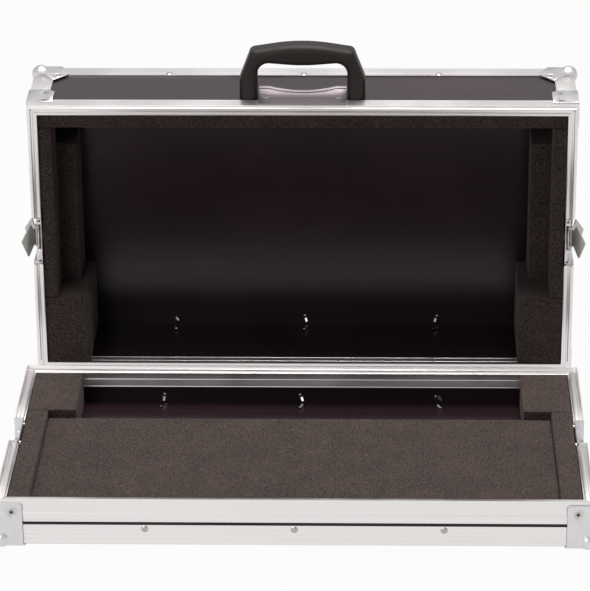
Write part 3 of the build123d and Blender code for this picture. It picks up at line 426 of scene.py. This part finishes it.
def moulded_plastic():
    """Black-brown moulded nylon: satin, with a fine spark-eroded grain and worn, glossier patches.

    The real grain is 0.2 to 0.4 mm wide. It is drawn at 0.7 mm, so that it shows from close by.
    """
    material, output = new_material("moulded_plastic")
    colours = bpy.context.scene.case_colours
    smooth, rough = PLASTIC_ROUGHNESS
    place = add_node(material, "ShaderNodeTexCoord")
    grain = add_node(material, "ShaderNodeTexNoise",
                     values={"Scale": MOULD_GRAIN, "Detail": 3.0},
                     links={"Vector": (place, "Object")})
    worn = add_node(material, "ShaderNodeTexNoise",
                    values={"Scale": WORN_PATCHES, "Detail": 4.0, "Roughness": 0.6},
                    links={"Vector": (place, "Object")})
    gloss = add_node(material, "ShaderNodeMapRange",
                     values={"From Min": NOISE_LOW, "From Max": NOISE_HIGH,
                             "To Min": smooth, "To Max": rough},
                     links={"Value": (worn, "Fac")})
    amount = add_node(material, "ShaderNodeMapRange",
                      values={"From Min": NOISE_LOW, "From Max": NOISE_HIGH},
                      links={"Value": (worn, "Fac")})
    colour = add_node(material, "ShaderNodeMix",
                      settings={"data_type": "RGBA"},
                      values={"A": colours.handle, "B": colours.handle_worn},
                      links={"Factor": (amount, "Result")})
    bump = add_node(material, "ShaderNodeBump",
                    values={"Strength": 0.35, "Distance": 0.1 * MM},
                    links={"Height": (grain, "Fac")})
    shader = add_node(material, "ShaderNodeBsdfPrincipled",
                      values={"IOR": 1.42},
                      links={"Base Color": (colour, "Result"), "Roughness": (gloss, "Result"),
                             "Normal": (bump, "Normal")})
    return surface(material, output, shader)


def plated_steel(name, base_colour, roughness):
    """Zinc or nickel plated steel sheet: bright grey, a little cloudy, with the sheet's fine orange peel."""
    material, output = new_material(name)
    smooth, rough = roughness
    place = add_node(material, "ShaderNodeTexCoord")
    peel = add_node(material, "ShaderNodeTexNoise",
                    values={"Scale": ORANGE_PEEL, "Detail": 3.0},
                    links={"Vector": (place, "Object")})
    cloud = add_node(material, "ShaderNodeTexNoise",
                     values={"Scale": PLATING_CLOUDS, "Detail": 5.0, "Roughness": 0.65},
                     links={"Vector": (place, "Object")})
    gloss = add_node(material, "ShaderNodeMapRange",
                     values={"From Min": NOISE_LOW, "From Max": NOISE_HIGH,
                             "To Min": smooth, "To Max": rough},
                     links={"Value": (cloud, "Fac")})
    tint = add_node(material, "ShaderNodeMapRange",
                    values={"To Min": 0.86, "To Max": 1.06},
                    links={"Value": (cloud, "Fac")})
    colour = add_node(material, "ShaderNodeMix",
                      settings={"data_type": "RGBA", "blend_type": "MULTIPLY"},
                      values={"Factor": 1.0, "A": base_colour},
                      links={"B": (tint, "Result")})
    bump = add_node(material, "ShaderNodeBump",
                    values={"Strength": 0.25, "Distance": 0.1 * MM},
                    links={"Height": (peel, "Fac")})
    shader = add_node(material, "ShaderNodeBsdfPrincipled",
                      values={"Metallic": 1.0},
                      links={"Base Color": (colour, "Result"), "Roughness": (gloss, "Result"),
                             "Normal": (bump, "Normal")})
    return surface(material, output, shader)


def rivet_hollow():
    """Painted shade for the hollow of a tubular rivet: dark and matt, standing in for the light that does
    not come back out of it.
    """
    material, output = new_material("rivet_hollow")
    shader = add_node(material, "ShaderNodeBsdfPrincipled",
                      values={"Base Color": bpy.context.scene.case_colours.hollow_shade, "Roughness": 0.6})
    return surface(material, output, shader)


def paper_floor():
    """White paper sweep, matt. It shows almost plain white and still takes the soft contact shadow.

    The camera and the first mirror image, which is a glossy ray of depth 1, each see a share of plain white.
    All other rays meet lit paper.
    """
    material, output = new_material("paper_floor")
    rays = add_node(material, "ShaderNodeLightPath")
    paper = add_node(material, "ShaderNodeBsdfDiffuse",
                     values={"Color": bpy.context.scene.case_colours.paper})
    white = add_node(material, "ShaderNodeEmission",
                     values={"Color": WHITE, "Strength": 1.0})
    first = add_node(material, "ShaderNodeMath",
                     settings={"operation": "LESS_THAN"},
                     values={1: FIRST_DEPTH},
                     links={0: (rays, "Ray Depth")})
    seen = add_node(material, "ShaderNodeMath",
                    settings={"operation": "MULTIPLY"},
                    values={1: FLOOR_FOR_METAL},
                    links={0: (rays, "Is Glossy Ray")})
    mirrored = add_node(material, "ShaderNodeMath",
                        settings={"operation": "MULTIPLY"},
                        links={0: (seen, "Value"), 1: (first, "Value")})
    share = add_node(material, "ShaderNodeMath",
                     settings={"operation": "MULTIPLY_ADD"},
                     values={1: FLOOR_FOR_CAMERA},
                     links={0: (rays, "Is Camera Ray"), 2: (mirrored, "Value")})
    blend = add_node(material, "ShaderNodeMixShader",
                     links={"Fac": (share, "Value"), 1: (paper, "BSDF"), 2: (white, "Emission")})
    return surface(material, output, blend)


# Meshes

def dress(piece, material):
    """Gives an object one material."""
    piece.data.materials.clear()
    piece.data.materials.append(material)


def finish_piece(piece, material, body):
    """Gives a piece its material and smooth shading, and lets it ride on a body."""
    dress(piece, material)
    piece.data.polygons.foreach_set("use_smooth", [True] * len(piece.data.polygons))
    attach(piece, body)


def new_piece(name, points, faces, material, body):
    """Object in metres from points and faces, with a material, riding on a body."""
    mesh = bpy.data.meshes.new(name)
    mesh.from_pydata(points.tolist(), [], faces.tolist())
    mesh.validate()
    piece = bpy.data.objects.new(name, mesh)
    bpy.context.collection.objects.link(piece)
    finish_piece(piece, material, body)
    weld(mesh)
    return piece


def weld(mesh):
    """Merges doubled corners and turns every face outwards."""
    grid = bmesh.new()
    grid.from_mesh(mesh)
    bmesh.ops.remove_doubles(grid, verts=grid.verts, dist=WELD_DISTANCE)
    bmesh.ops.recalc_face_normals(grid, faces=grid.faces)
    grid.to_mesh(mesh)
    grid.free()


def apply_modifiers(piece):
    """Replaces the piece's mesh by what its modifiers make of it."""
    graph = bpy.context.evaluated_depsgraph_get()
    mesh = bpy.data.meshes.new_from_object(piece.evaluated_get(graph))
    piece.modifiers.clear()
    piece.data = mesh


def softened(node, width):
    """Copy of a CAD node with its sharp edges bevelled, standing for that node."""
    piece = nodes[node].copy()
    piece.data = nodes[node].data.copy()
    piece.name = node + "_finished"
    piece.data.name = piece.name
    piece.parent = None
    piece.matrix_world = Matrix.Identity(4)
    bpy.context.collection.objects.link(piece)
    grid = bmesh.new()
    grid.from_mesh(piece.data)
    bmesh.ops.remove_doubles(grid, verts=grid.verts, dist=CAD_WELD_DISTANCE)
    bmesh.ops.dissolve_limit(grid, angle_limit=FLAT_ANGLE, verts=grid.verts, edges=grid.edges)
    grid.to_mesh(piece.data)
    grid.free()
    bevel = piece.modifiers.new("edges", "BEVEL")
    bevel.width = width
    bevel.segments = BEVEL_SEGMENTS
    bevel.limit_method = "ANGLE"
    bevel.angle_limit = ROUNDED_ANGLE
    apply_modifiers(piece)
    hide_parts(node)
    return piece


def smooth_by_angle(piece, degrees):
    """Smooth shading, with the edges that turn by an angle or more kept sharp."""
    limit = radians(degrees)
    grid = bmesh.new()
    grid.from_mesh(piece.data)
    for face in grid.faces:
        face.smooth = True
    for edge in grid.edges:
        edge.smooth = len(edge.link_faces) == 2 and edge.calc_face_angle(0.0) < limit
    grid.to_mesh(piece.data)
    grid.free()


def finished(node, width, material, sharp):
    """Softened copy of a CAD node with its material, riding on the node's body.

    Edges that turn by sharp degrees or more stay sharp.
    """
    piece = softened(node, width)
    finish_piece(piece, material, home(node))
    smooth_by_angle(piece, sharp)
    return piece


# Foam

def steps(low, high, cell, edge):
    """Grid lines from low to high, about one cell apart.

    Inside a rounded edge they are closer: edge * (1 - cos t) from the end, for t of 0, 30 and 60 degrees.
    """
    inner = np.linspace(low + edge, high - edge, max(2, int(round((high - low - 2 * edge) / cell)) + 1))
    near = edge * (1 - np.cos(np.linspace(0, pi / 2, 4)[:-1]))
    return np.concatenate([low + near, inner, high - near[::-1]])


def rounded_block(low, high, cell, edge):
    """Closed block with rounded edges.

    Each of the six faces is a grid. A grid point p goes to c + edge * (p - c) / |p - c|, where c is the
    nearest point of the same block made smaller by edge on every side. With an edge of 0, the least length
    of 1e-9 prevents a division by 0.
    """
    lines = [steps(low[i], high[i], cell, edge) for i in range(3)]
    points, faces, start = [], [], 0
    for axis in range(3):
        u_axis, v_axis = (axis + 1) % 3, (axis + 2) % 3
        u, v = np.meshgrid(lines[u_axis], lines[v_axis], indexing="ij")
        for value, flip in ((low[axis], True), (high[axis], False)):
            face = np.empty(u.shape + (3,))
            face[..., axis], face[..., u_axis], face[..., v_axis] = value, u, v
            points.append(face.reshape(-1, 3))
            index = start + np.arange(u.size).reshape(u.shape)
            quads = np.stack([index[:-1, :-1], index[1:, :-1], index[1:, 1:], index[:-1, 1:]], axis=-1)
            quads = quads.reshape(-1, 4)
            faces.append(quads[:, ::-1] if flip else quads)
            start += u.size
    points = np.concatenate(points)
    core = np.clip(points, low + edge, high - edge)
    away = points - core
    length = np.maximum(np.linalg.norm(away, axis=1, keepdims=True), 1e-9)
    return core + edge * away / length, np.concatenate(faces)


def ripple(points, length, seed):
    """Smooth unevenness between -1 and 1 for each point: the mean of sine waves in random directions."""
    source = np.random.default_rng(seed)
    total = np.zeros(len(points))
    for _ in range(WAVE_COUNT):
        direction = source.normal(size=3)
        direction /= np.linalg.norm(direction)
        pitch = length * source.uniform(*WAVE_SPREAD)
        total += np.sin(points @ direction * 2 * pi / pitch + source.uniform(0, 2 * pi))
    return total / WAVE_COUNT


def foam_piece(name, low, high, seed, body, material, back, keep_clear):
    """Sawn foam block in the space of its CAD solid, slightly uneven, with rounded edges.

    Each point on a face moves inwards by a share of the unevenness, from 0 to 1, in long waves and in a fine
    grain. Where the block meets the box to keep clear of, its outer face is pressed in along X. At the end
    the block goes through the matrix back, if there is one.
    """
    sizes = bpy.context.scene.case_sizes
    points, faces = rounded_block(low, high, sizes.foam_cell, sizes.foam_edge)
    centre, half = (low + high) / 2, (high - low) / 2
    source = np.random.default_rng(seed)
    share = (0.5 + WAVE_SHARE * ripple(points, WAVE_LENGTH, seed)
             + GRAIN_SHARE * source.uniform(-1, 1, len(points)))
    outward = (points - centre) / half
    side = np.abs(outward) > FACE_BAND
    points -= side * np.sign(outward) * (sizes.foam_unevenness * share)[:, None]
    box_low, box_high = keep_clear
    inside = np.all((points > box_low) & (points < box_high), axis=1)
    points[inside, 0] = box_low[0] if centre[0] > 0 else box_high[0]
    if back is not None:
        points = moved(points, back)
    piece = new_piece(name, points, faces, material, body)
    return piece


# Rivets

def rivet_heads(node):
    """Middle of the head's foot, number of the axis, outward sign and radius, for each rivet of a CAD node.

    Places are those in the closed case, where each rivet lies along X, Y or Z. Its axis is the one along
    which its size differs most from the middle size, and the head's foot is where it is widest.
    """
    heads = []
    for points in islands(node, closing_turn() if home(node) == "cover" else None):
        low, high = extent(points)
        size, middle = high - low, (low + high) / 2
        axis = int(np.argmax(np.abs(size - np.median(size))))
        away = np.linalg.norm(np.delete(points - middle, axis, axis=1), axis=1)
        level = points[away > FOOT_BAND * away.max(), axis].mean()
        sign = 1.0 if level > middle[axis] else -1.0
        middle[axis] = level
        heads.append((middle, axis, sign, away.max()))
    return heads


def turned(profile, middle, axis, sign):
    """Surface of revolution: a closed profile of radius and height, turned about a rivet's axis.

    Point i, j is (r_i cos(2 pi j / n), r_i sin(2 pi j / n), z_i) in the head's own axes.
    """
    radius, height = np.array(profile).T
    turn = np.linspace(0, 2 * pi, TURN_STEPS, endpoint=False)
    points = np.empty((len(profile), TURN_STEPS, 3))
    points[..., (axis + 1) % 3] = radius[:, None] * np.cos(turn)
    points[..., (axis + 2) % 3] = radius[:, None] * np.sin(turn)
    points[..., axis] = sign * height[:, None]
    index = np.arange(len(profile) * TURN_STEPS).reshape(len(profile), TURN_STEPS)
    below, beside = np.roll(index, -1, axis=0), np.roll(index, -1, axis=1)
    quads = np.stack([index, beside, np.roll(below, -1, axis=1), below], axis=-1)
    return points.reshape(-1, 3) + middle, quads.reshape(-1, 4)


def rivet_trim(node, name, profile_of, material):
    """One piece with the same turned shape on each rivet of a CAD node."""
    points, faces, start = [], [], 0
    for middle, axis, sign, radius in rivet_heads(node):
        ring_points, ring_faces = turned(profile_of(radius), middle, axis, sign)
        points.append(ring_points)
        faces.append(ring_faces + start)
        start += len(ring_points)
    points = np.concatenate(points)
    if home(node) == "cover":
        points = moved(points, closing_turn().inverted())
    piece = new_piece(node + name, points, np.concatenate(faces), material, home(node))


def oval(middle, half_width, height, half_height, count):
    """Closed oval profile: the points (middle + half_width * cos t, height + half_height * sin t)."""
    turn = np.linspace(0, 2 * pi, count, endpoint=False)
    return [(middle + half_width * cos(t), height + half_height * sin(t)) for t in turn]


def dome(head, away):
    """Height of a rivet's head, of a given radius, at a distance from its axis.

    The head is the cap of a ball with the radius (head ** 2 + rise ** 2) / (2 * rise).
    """
    ball = (head ** 2 + RIVET_RISE ** 2) / (2 * RIVET_RISE)
    return (ball ** 2 - away ** 2) ** 0.5 - (ball - RIVET_RISE)


def seat_profile(head):
    """Raised ring that is pressed into the plate round a rivet's head of that radius."""
    return oval(SEAT_MIDDLE * head, SEAT_HALF_WIDTH * head, 0.0, SEAT_RISE, SEAT_STEPS)


def rolled_profile(head):
    """Rolled edge round the hollow of a tubular rivet."""
    away, thick = ROLL_MIDDLE * head, ROLL_RADIUS * head
    return oval(away, thick, dome(head, away), thick, ROLL_STEPS)


def hollow_shade_profile(head):
    """Painted shade for the hollow of a tubular rivet: a dark, thin lid on its dome."""
    away = HOLLOW_SHADE_RADIUS * head
    top = [(reach, dome(head, reach) + LID_OVER_DOME) for reach in (0.0, away / 2, away)]
    bottom = dome(head, away) - LID_UNDER_DOME
    return top + [(away, bottom), (0.0, bottom)]


# Camera and light

def aim(pitch, yaw, roll):
    """Turn of a camera that looks along +Y and is then turned down, to the right and rolled, in degrees."""
    p, w, r = radians(pitch), radians(yaw), radians(roll)
    forward = np.array([sin(w) * cos(p), cos(w) * cos(p), -sin(p)])
    right = np.array([cos(w), -sin(w), 0.0])
    up = np.cross(right, forward)
    rolled_right = cos(r) * right + sin(r) * up
    rolled_up = -sin(r) * right + cos(r) * up
    return Matrix(np.array([rolled_right, rolled_up, -forward]).T.tolist()).to_4x4()


def area_light(name, place, target, size, power):
    """Square soft light at a place, facing a target."""
    data = bpy.data.lights.new(name, "AREA")
    data.shape = "SQUARE"
    data.size = size
    data.energy = power
    lamp = bpy.data.objects.new(name, data)
    bpy.context.collection.objects.link(lamp)
    facing = (Vector(target) - Vector(place)).to_track_quat("-Z", "Y")
    lamp.matrix_world = Matrix.Translation(place) @ facing.to_matrix().to_4x4()


# Sizes and colours

class CaseSizes(PropertyGroup):
    """Sizes of what is added to the construction, and the camera's focal length"""
    foam_edge: FloatProperty(
        name="Foam edge", description="Rounding of the sawn foam's edges",
        default=1.1 * MM, min=0.0, unit="LENGTH")
    foam_unevenness: FloatProperty(
        name="Foam unevenness", description="How far the sawn faces leave a plane",
        default=0.7 * MM, min=0.0, unit="LENGTH")
    foam_cell: FloatProperty(
        name="Foam grid", description="Distance between the grid lines of the foam",
        default=3.0 * MM, min=0.5 * MM, unit="LENGTH")
    extrusion_edge: FloatProperty(
        name="Extrusion edge", description="Rounding of the rims' and angles' edges",
        default=0.18 * MM, min=0.0, unit="LENGTH")
    sheet_edge: FloatProperty(
        name="Sheet edge", description="Rounding of the edges of the corners, braces and handle plate",
        default=0.3 * MM, min=0.0, unit="LENGTH")
    dish_edge: FloatProperty(
        name="Dish edge", description="Rounding of the edges of the latch and catch dishes",
        default=0.25 * MM, min=0.0, unit="LENGTH")
    latch_edge: FloatProperty(
        name="Latch edge", description="Rounding of the edges of the turners and wings",
        default=0.2 * MM, min=0.0, unit="LENGTH")
    focal_length: FloatProperty(
        name="Focal length", description="The camera's, in millimetres on a 36 mm frame",
        default=191.82, min=10.0, unit="CAMERA")


class CaseColours(PropertyGroup):
    """Colours of the finishes"""
    aluminium: FloatVectorProperty(
        name="Aluminium", description="Clear anodised extrusions",
        size=4, subtype="COLOR", default=linear("#F1EDEC"))
    film: FloatVectorProperty(
        name="Film", description="Phenolic film, lighter tone",
        size=4, subtype="COLOR", default=linear("#38242B"))
    film_dark: FloatVectorProperty(
        name="Film, dark", description="Phenolic film, darker tone",
        size=4, subtype="COLOR", default=linear("#2A1C20"))
    foam: FloatVectorProperty(
        name="Foam", description="Foam, middle tone",
        size=4, subtype="COLOR", default=linear("#3D3230"))
    # Painted shade in the foam's open pores
    foam_pore_shade: FloatVectorProperty(
        name="Foam pores", description="Foam, dark tone",
        size=4, subtype="COLOR", default=linear("#231D1C"))
    foam_edge: FloatVectorProperty(
        name="Foam cell edges", description="Foam, light tone",
        size=4, subtype="COLOR", default=linear("#76655E"))
    handle: FloatVectorProperty(
        name="Handle", description="Moulded handle",
        size=4, subtype="COLOR", default=linear("#19110E"))
    handle_worn: FloatVectorProperty(
        name="Handle, worn", description="Moulded handle where hands touch it",
        size=4, subtype="COLOR", default=linear("#241814"))
    handle_plate: FloatVectorProperty(
        name="Handle plate", description="Plate between the handle's legs, its bolts and washers",
        size=4, subtype="COLOR", default=linear("#958B8D"))
    steel: FloatVectorProperty(
        name="Pressed steel", description="Plated corners, braces and latch dishes",
        size=4, subtype="COLOR", default=linear("#E2E0E1"))
    latch: FloatVectorProperty(
        name="Latch steel", description="Plated turners, wings and wing pins",
        size=4, subtype="COLOR", default=linear("#CBC8C4"))
    nickel: FloatVectorProperty(
        name="Rivet nickel", description="Nickel-plated rivets",
        size=4, subtype="COLOR", default=linear("#BAB6B2"))
    # Painted shade: the colour of the dark lids that stand for the rivets' hollows
    hollow_shade: FloatVectorProperty(
        name="Rivet hollow", description="Inside of the tubular rivets",
        size=4, subtype="COLOR", default=linear("#241E1B"))
    paper: FloatVectorProperty(
        name="Floor paper", description="The floor as the lamps light it",
        size=4, subtype="COLOR", default=linear("#A8A8A8"))


# Operators

class CASE_OT_extrusions(Operator):
    """Gives the rims and edge angles their anodised finish, with the die lines along each bar"""
    bl_idname = "flightcase.extrusions"
    bl_label = "Extrusions"

    def execute(self, context):
        width = context.scene.case_sizes.extrusion_edge
        finishes = {axis: anodised_aluminium(axis) for axis in "xyz"}
        for node in nodes:
            if is_extrusion(node):
                piece = finished(node, width, finishes[bar_axis(node)], sharp=30)
        return {"FINISHED"}


class CASE_OT_panels(Operator):
    """Gives the plywood panels their film"""
    bl_idname = "flightcase.panels"
    bl_label = "Panels"

    def execute(self, context):
        film = film_faced_plywood()
        for node in nodes:
            if node.endswith("_panel"):
                dress(nodes[node], film)
        return {"FINISHED"}


class CASE_OT_corners(Operator):
    """Finishes the pressed corners and the rim braces"""
    bl_idname = "flightcase.corners"
    bl_label = "Corners and braces"

    def execute(self, context):
        width = context.scene.case_sizes.sheet_edge
        steel = plated_steel("corner_steel", context.scene.case_colours.steel, CORNER_ROUGHNESS)
        for node in ("tray_ball_corners", "cover_ball_corners", "cover_rim_braces"):
            piece = finished(node, width, steel, sharp=40)
        return {"FINISHED"}


class CASE_OT_rivets(Operator):
    """Plates the rivets, and adds rolled edges, dark lids of painted shade for the hollows, and the rings
    pressed round the corner rivets
    """
    bl_idname = "flightcase.rivets"
    bl_label = "Rivets"

    def execute(self, context):
        colours = context.scene.case_colours
        nickel = plated_steel("rivet_nickel", colours.nickel, RIVET_ROUGHNESS)
        steel = plated_steel("seat_steel", colours.steel, CORNER_ROUGHNESS)
        hollow_shade = rivet_hollow()
        for node in nodes:
            if node.endswith("rivets"):
                dress(nodes[node], nickel)
            if node in ("tray_corner_rivets", "cover_corner_rivets", "latch_dish_rivets"):
                rivet_trim(node, "_rolled_edges", rolled_profile, nickel)
                # Painted shade: a dark lid on each head stands for the rivet's hollow
                rivet_trim(node, "_hollows", hollow_shade_profile, hollow_shade)
            if node.endswith("_corner_rivets"):
                rivet_trim(node, "_seats", seat_profile, steel)
        return {"FINISHED"}


class CASE_OT_foam(Operator):
    """Makes the foam blocks of the tray and the cover"""
    bl_idname = "flightcase.foam"
    bl_label = "Foam"

    def execute(self, context):
        foam = open_cell_foam()
        closing = closing_turn()
        for number, node in enumerate(n for n in nodes if "foam" in n):
            on_cover = node.startswith("cover")
            to_closed = closing if on_cover else None
            back = closing.inverted() if on_cover else None
            dish = "_latch_dish" if on_cover else "_catch_dish"
            for part, (low, high) in enumerate(solid_boxes(node, to_closed)):
                side = "left" if (low + high)[0] < 0 else "right"
                dish_low, dish_high = extent(node_points(side + dish, to_closed))
                dish_space = (dish_low - DISH_ROOM, dish_high + DISH_ROOM)
                seed = 10 * number + part
                piece = foam_piece(node + "_cut_" + str(part + 1), low, high, seed, home(node), foam, back,
                                   dish_space)
                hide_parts(node)
        return {"FINISHED"}


class CASE_OT_latches(Operator):
    """Finishes the dishes, turners, wings and pins of the two latches"""
    bl_idname = "flightcase.latches"
    bl_label = "Latches"

    def execute(self, context):
        sizes = context.scene.case_sizes
        colours = context.scene.case_colours
        pressed = plated_steel("dish_steel", colours.steel, DISH_ROUGHNESS)
        bright = plated_steel("latch_steel", colours.latch, LATCH_ROUGHNESS)
        for node in nodes:
            if node.endswith(("_latch_dish", "_catch_dish")):
                piece = finished(node, sizes.dish_edge, pressed, sharp=35)
            elif node.endswith(("_turner", "_wing")):
                piece = finished(node, sizes.latch_edge, bright, sharp=35)
            elif node.endswith("_wing_pins"):
                dress(nodes[node], bright)
        return {"FINISHED"}


class CASE_OT_handle(Operator):
    """Finishes the moulded handle, the plate between its legs and its bolts"""
    bl_idname = "flightcase.handle"
    bl_label = "Handle"

    def execute(self, context):
        plastic = moulded_plastic()
        plate = plated_steel("handle_plate_steel", context.scene.case_colours.handle_plate,
                             HANDLE_PLATE_ROUGHNESS)
        piece = finished("handle_plate", context.scene.case_sizes.sheet_edge, plate, sharp=30)
        dress(nodes["handle_bow"], plastic)
        dress(nodes["handle_bolts"], plate)
        dress(nodes["handle_washers"], plate)
        return {"FINISHED"}


class CASE_OT_stage(Operator):
    """Makes the white floor, the soft studio light and the camera"""
    bl_idname = "flightcase.stage"
    bl_label = "Stage"

    def execute(self, context):
        self.make_floor(context)
        for name, light in SOFTBOXES.items():
            area_light(name, **light)
        self.make_world(context)
        self.make_camera(context)
        context.scene.view_settings.view_transform = "Standard"
        return {"FINISHED"}

    def make_floor(self, context):
        """One large square of paper under the case."""
        half = FLOOR_HALF
        corners = [(-half, -half, 0.0), (half, -half, 0.0), (half, half, 0.0), (-half, half, 0.0)]
        mesh = bpy.data.meshes.new("floor")
        mesh.from_pydata(corners, [], [(0, 1, 2, 3)])
        floor = bpy.data.objects.new("floor", mesh)
        context.collection.objects.link(floor)
        dress(floor, paper_floor())

    def make_world(self, context):
        """White surroundings: plain white to the camera, less in mirror images, faint light for the rest."""
        world = bpy.data.worlds.new("studio")
        world.use_nodes = True
        world.node_tree.nodes.clear()
        context.scene.world = world
        output = add_node(world, "ShaderNodeOutputWorld")
        rays = add_node(world, "ShaderNodeLightPath")
        mirrored = add_node(world, "ShaderNodeMath",
                            settings={"operation": "MULTIPLY_ADD"},
                            values={1: WORLD_FOR_METAL, 2: WORLD_FOR_ALL},
                            links={0: (rays, "Is Glossy Ray")})
        strength = add_node(world, "ShaderNodeMath",
                            settings={"operation": "MAXIMUM"},
                            links={0: (rays, "Is Camera Ray"), 1: (mirrored, "Value")})
        backdrop = add_node(world, "ShaderNodeBackground",
                            values={"Color": WHITE},
                            links={"Strength": (strength, "Value")})
        world.node_tree.links.new(backdrop.outputs["Background"], output.inputs["Surface"])

    def make_camera(self, context):
        """Camera at the place, height and angle that the photograph was taken from."""
        data = bpy.data.cameras.new("camera")
        data.lens = context.scene.case_sizes.focal_length
        data.sensor_width = SENSOR_WIDTH
        data.clip_end = VIEW_END
        camera = bpy.data.objects.new("camera", data)
        context.collection.objects.link(camera)
        turn = aim(CAMERA_PITCH, CAMERA_YAW, CAMERA_ROLL)
        camera.matrix_world = Matrix.Translation(CAMERA_PLACE) @ turn
        context.scene.camera = camera


class CASE_PT_panel(Panel):
    """Lists the sizes, the colours and the steps that finish the case"""
    bl_label = "Flight Case"
    bl_idname = "CASE_PT_panel"
    bl_space_type = "VIEW_3D"
    bl_region_type = "UI"
    bl_category = "Flight Case"

    def draw(self, context):
        layout = self.layout
        for group in (context.scene.case_sizes, context.scene.case_colours):
            for name in group.bl_rna.properties.keys():
                if name not in ("rna_type", "name"):
                    layout.prop(group, name)
        for operator in OPERATORS:
            layout.operator(operator.bl_idname)


OPERATORS = (CASE_OT_stage, CASE_OT_extrusions, CASE_OT_panels, CASE_OT_corners, CASE_OT_rivets,
             CASE_OT_foam, CASE_OT_latches, CASE_OT_handle)
CLASSES = (CaseSizes, CaseColours) + OPERATORS + (CASE_PT_panel,)


def register():
    """Makes the classes known to Blender and gives each scene its sizes and colours."""
    for cls in CLASSES:
        bpy.utils.register_class(cls)
    bpy.types.Scene.case_sizes = PointerProperty(type=CaseSizes)
    bpy.types.Scene.case_colours = PointerProperty(type=CaseColours)


def unregister():
    """Takes back what register does."""
    del bpy.types.Scene.case_colours
    del bpy.types.Scene.case_sizes
    for cls in reversed(CLASSES):
        bpy.utils.unregister_class(cls)


def main():
    """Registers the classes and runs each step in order."""
    register()
    for operator in OPERATORS:
        category, name = operator.bl_idname.split(".")
        getattr(getattr(bpy.ops, category), name)()


if __name__ == "__main__":
    main()
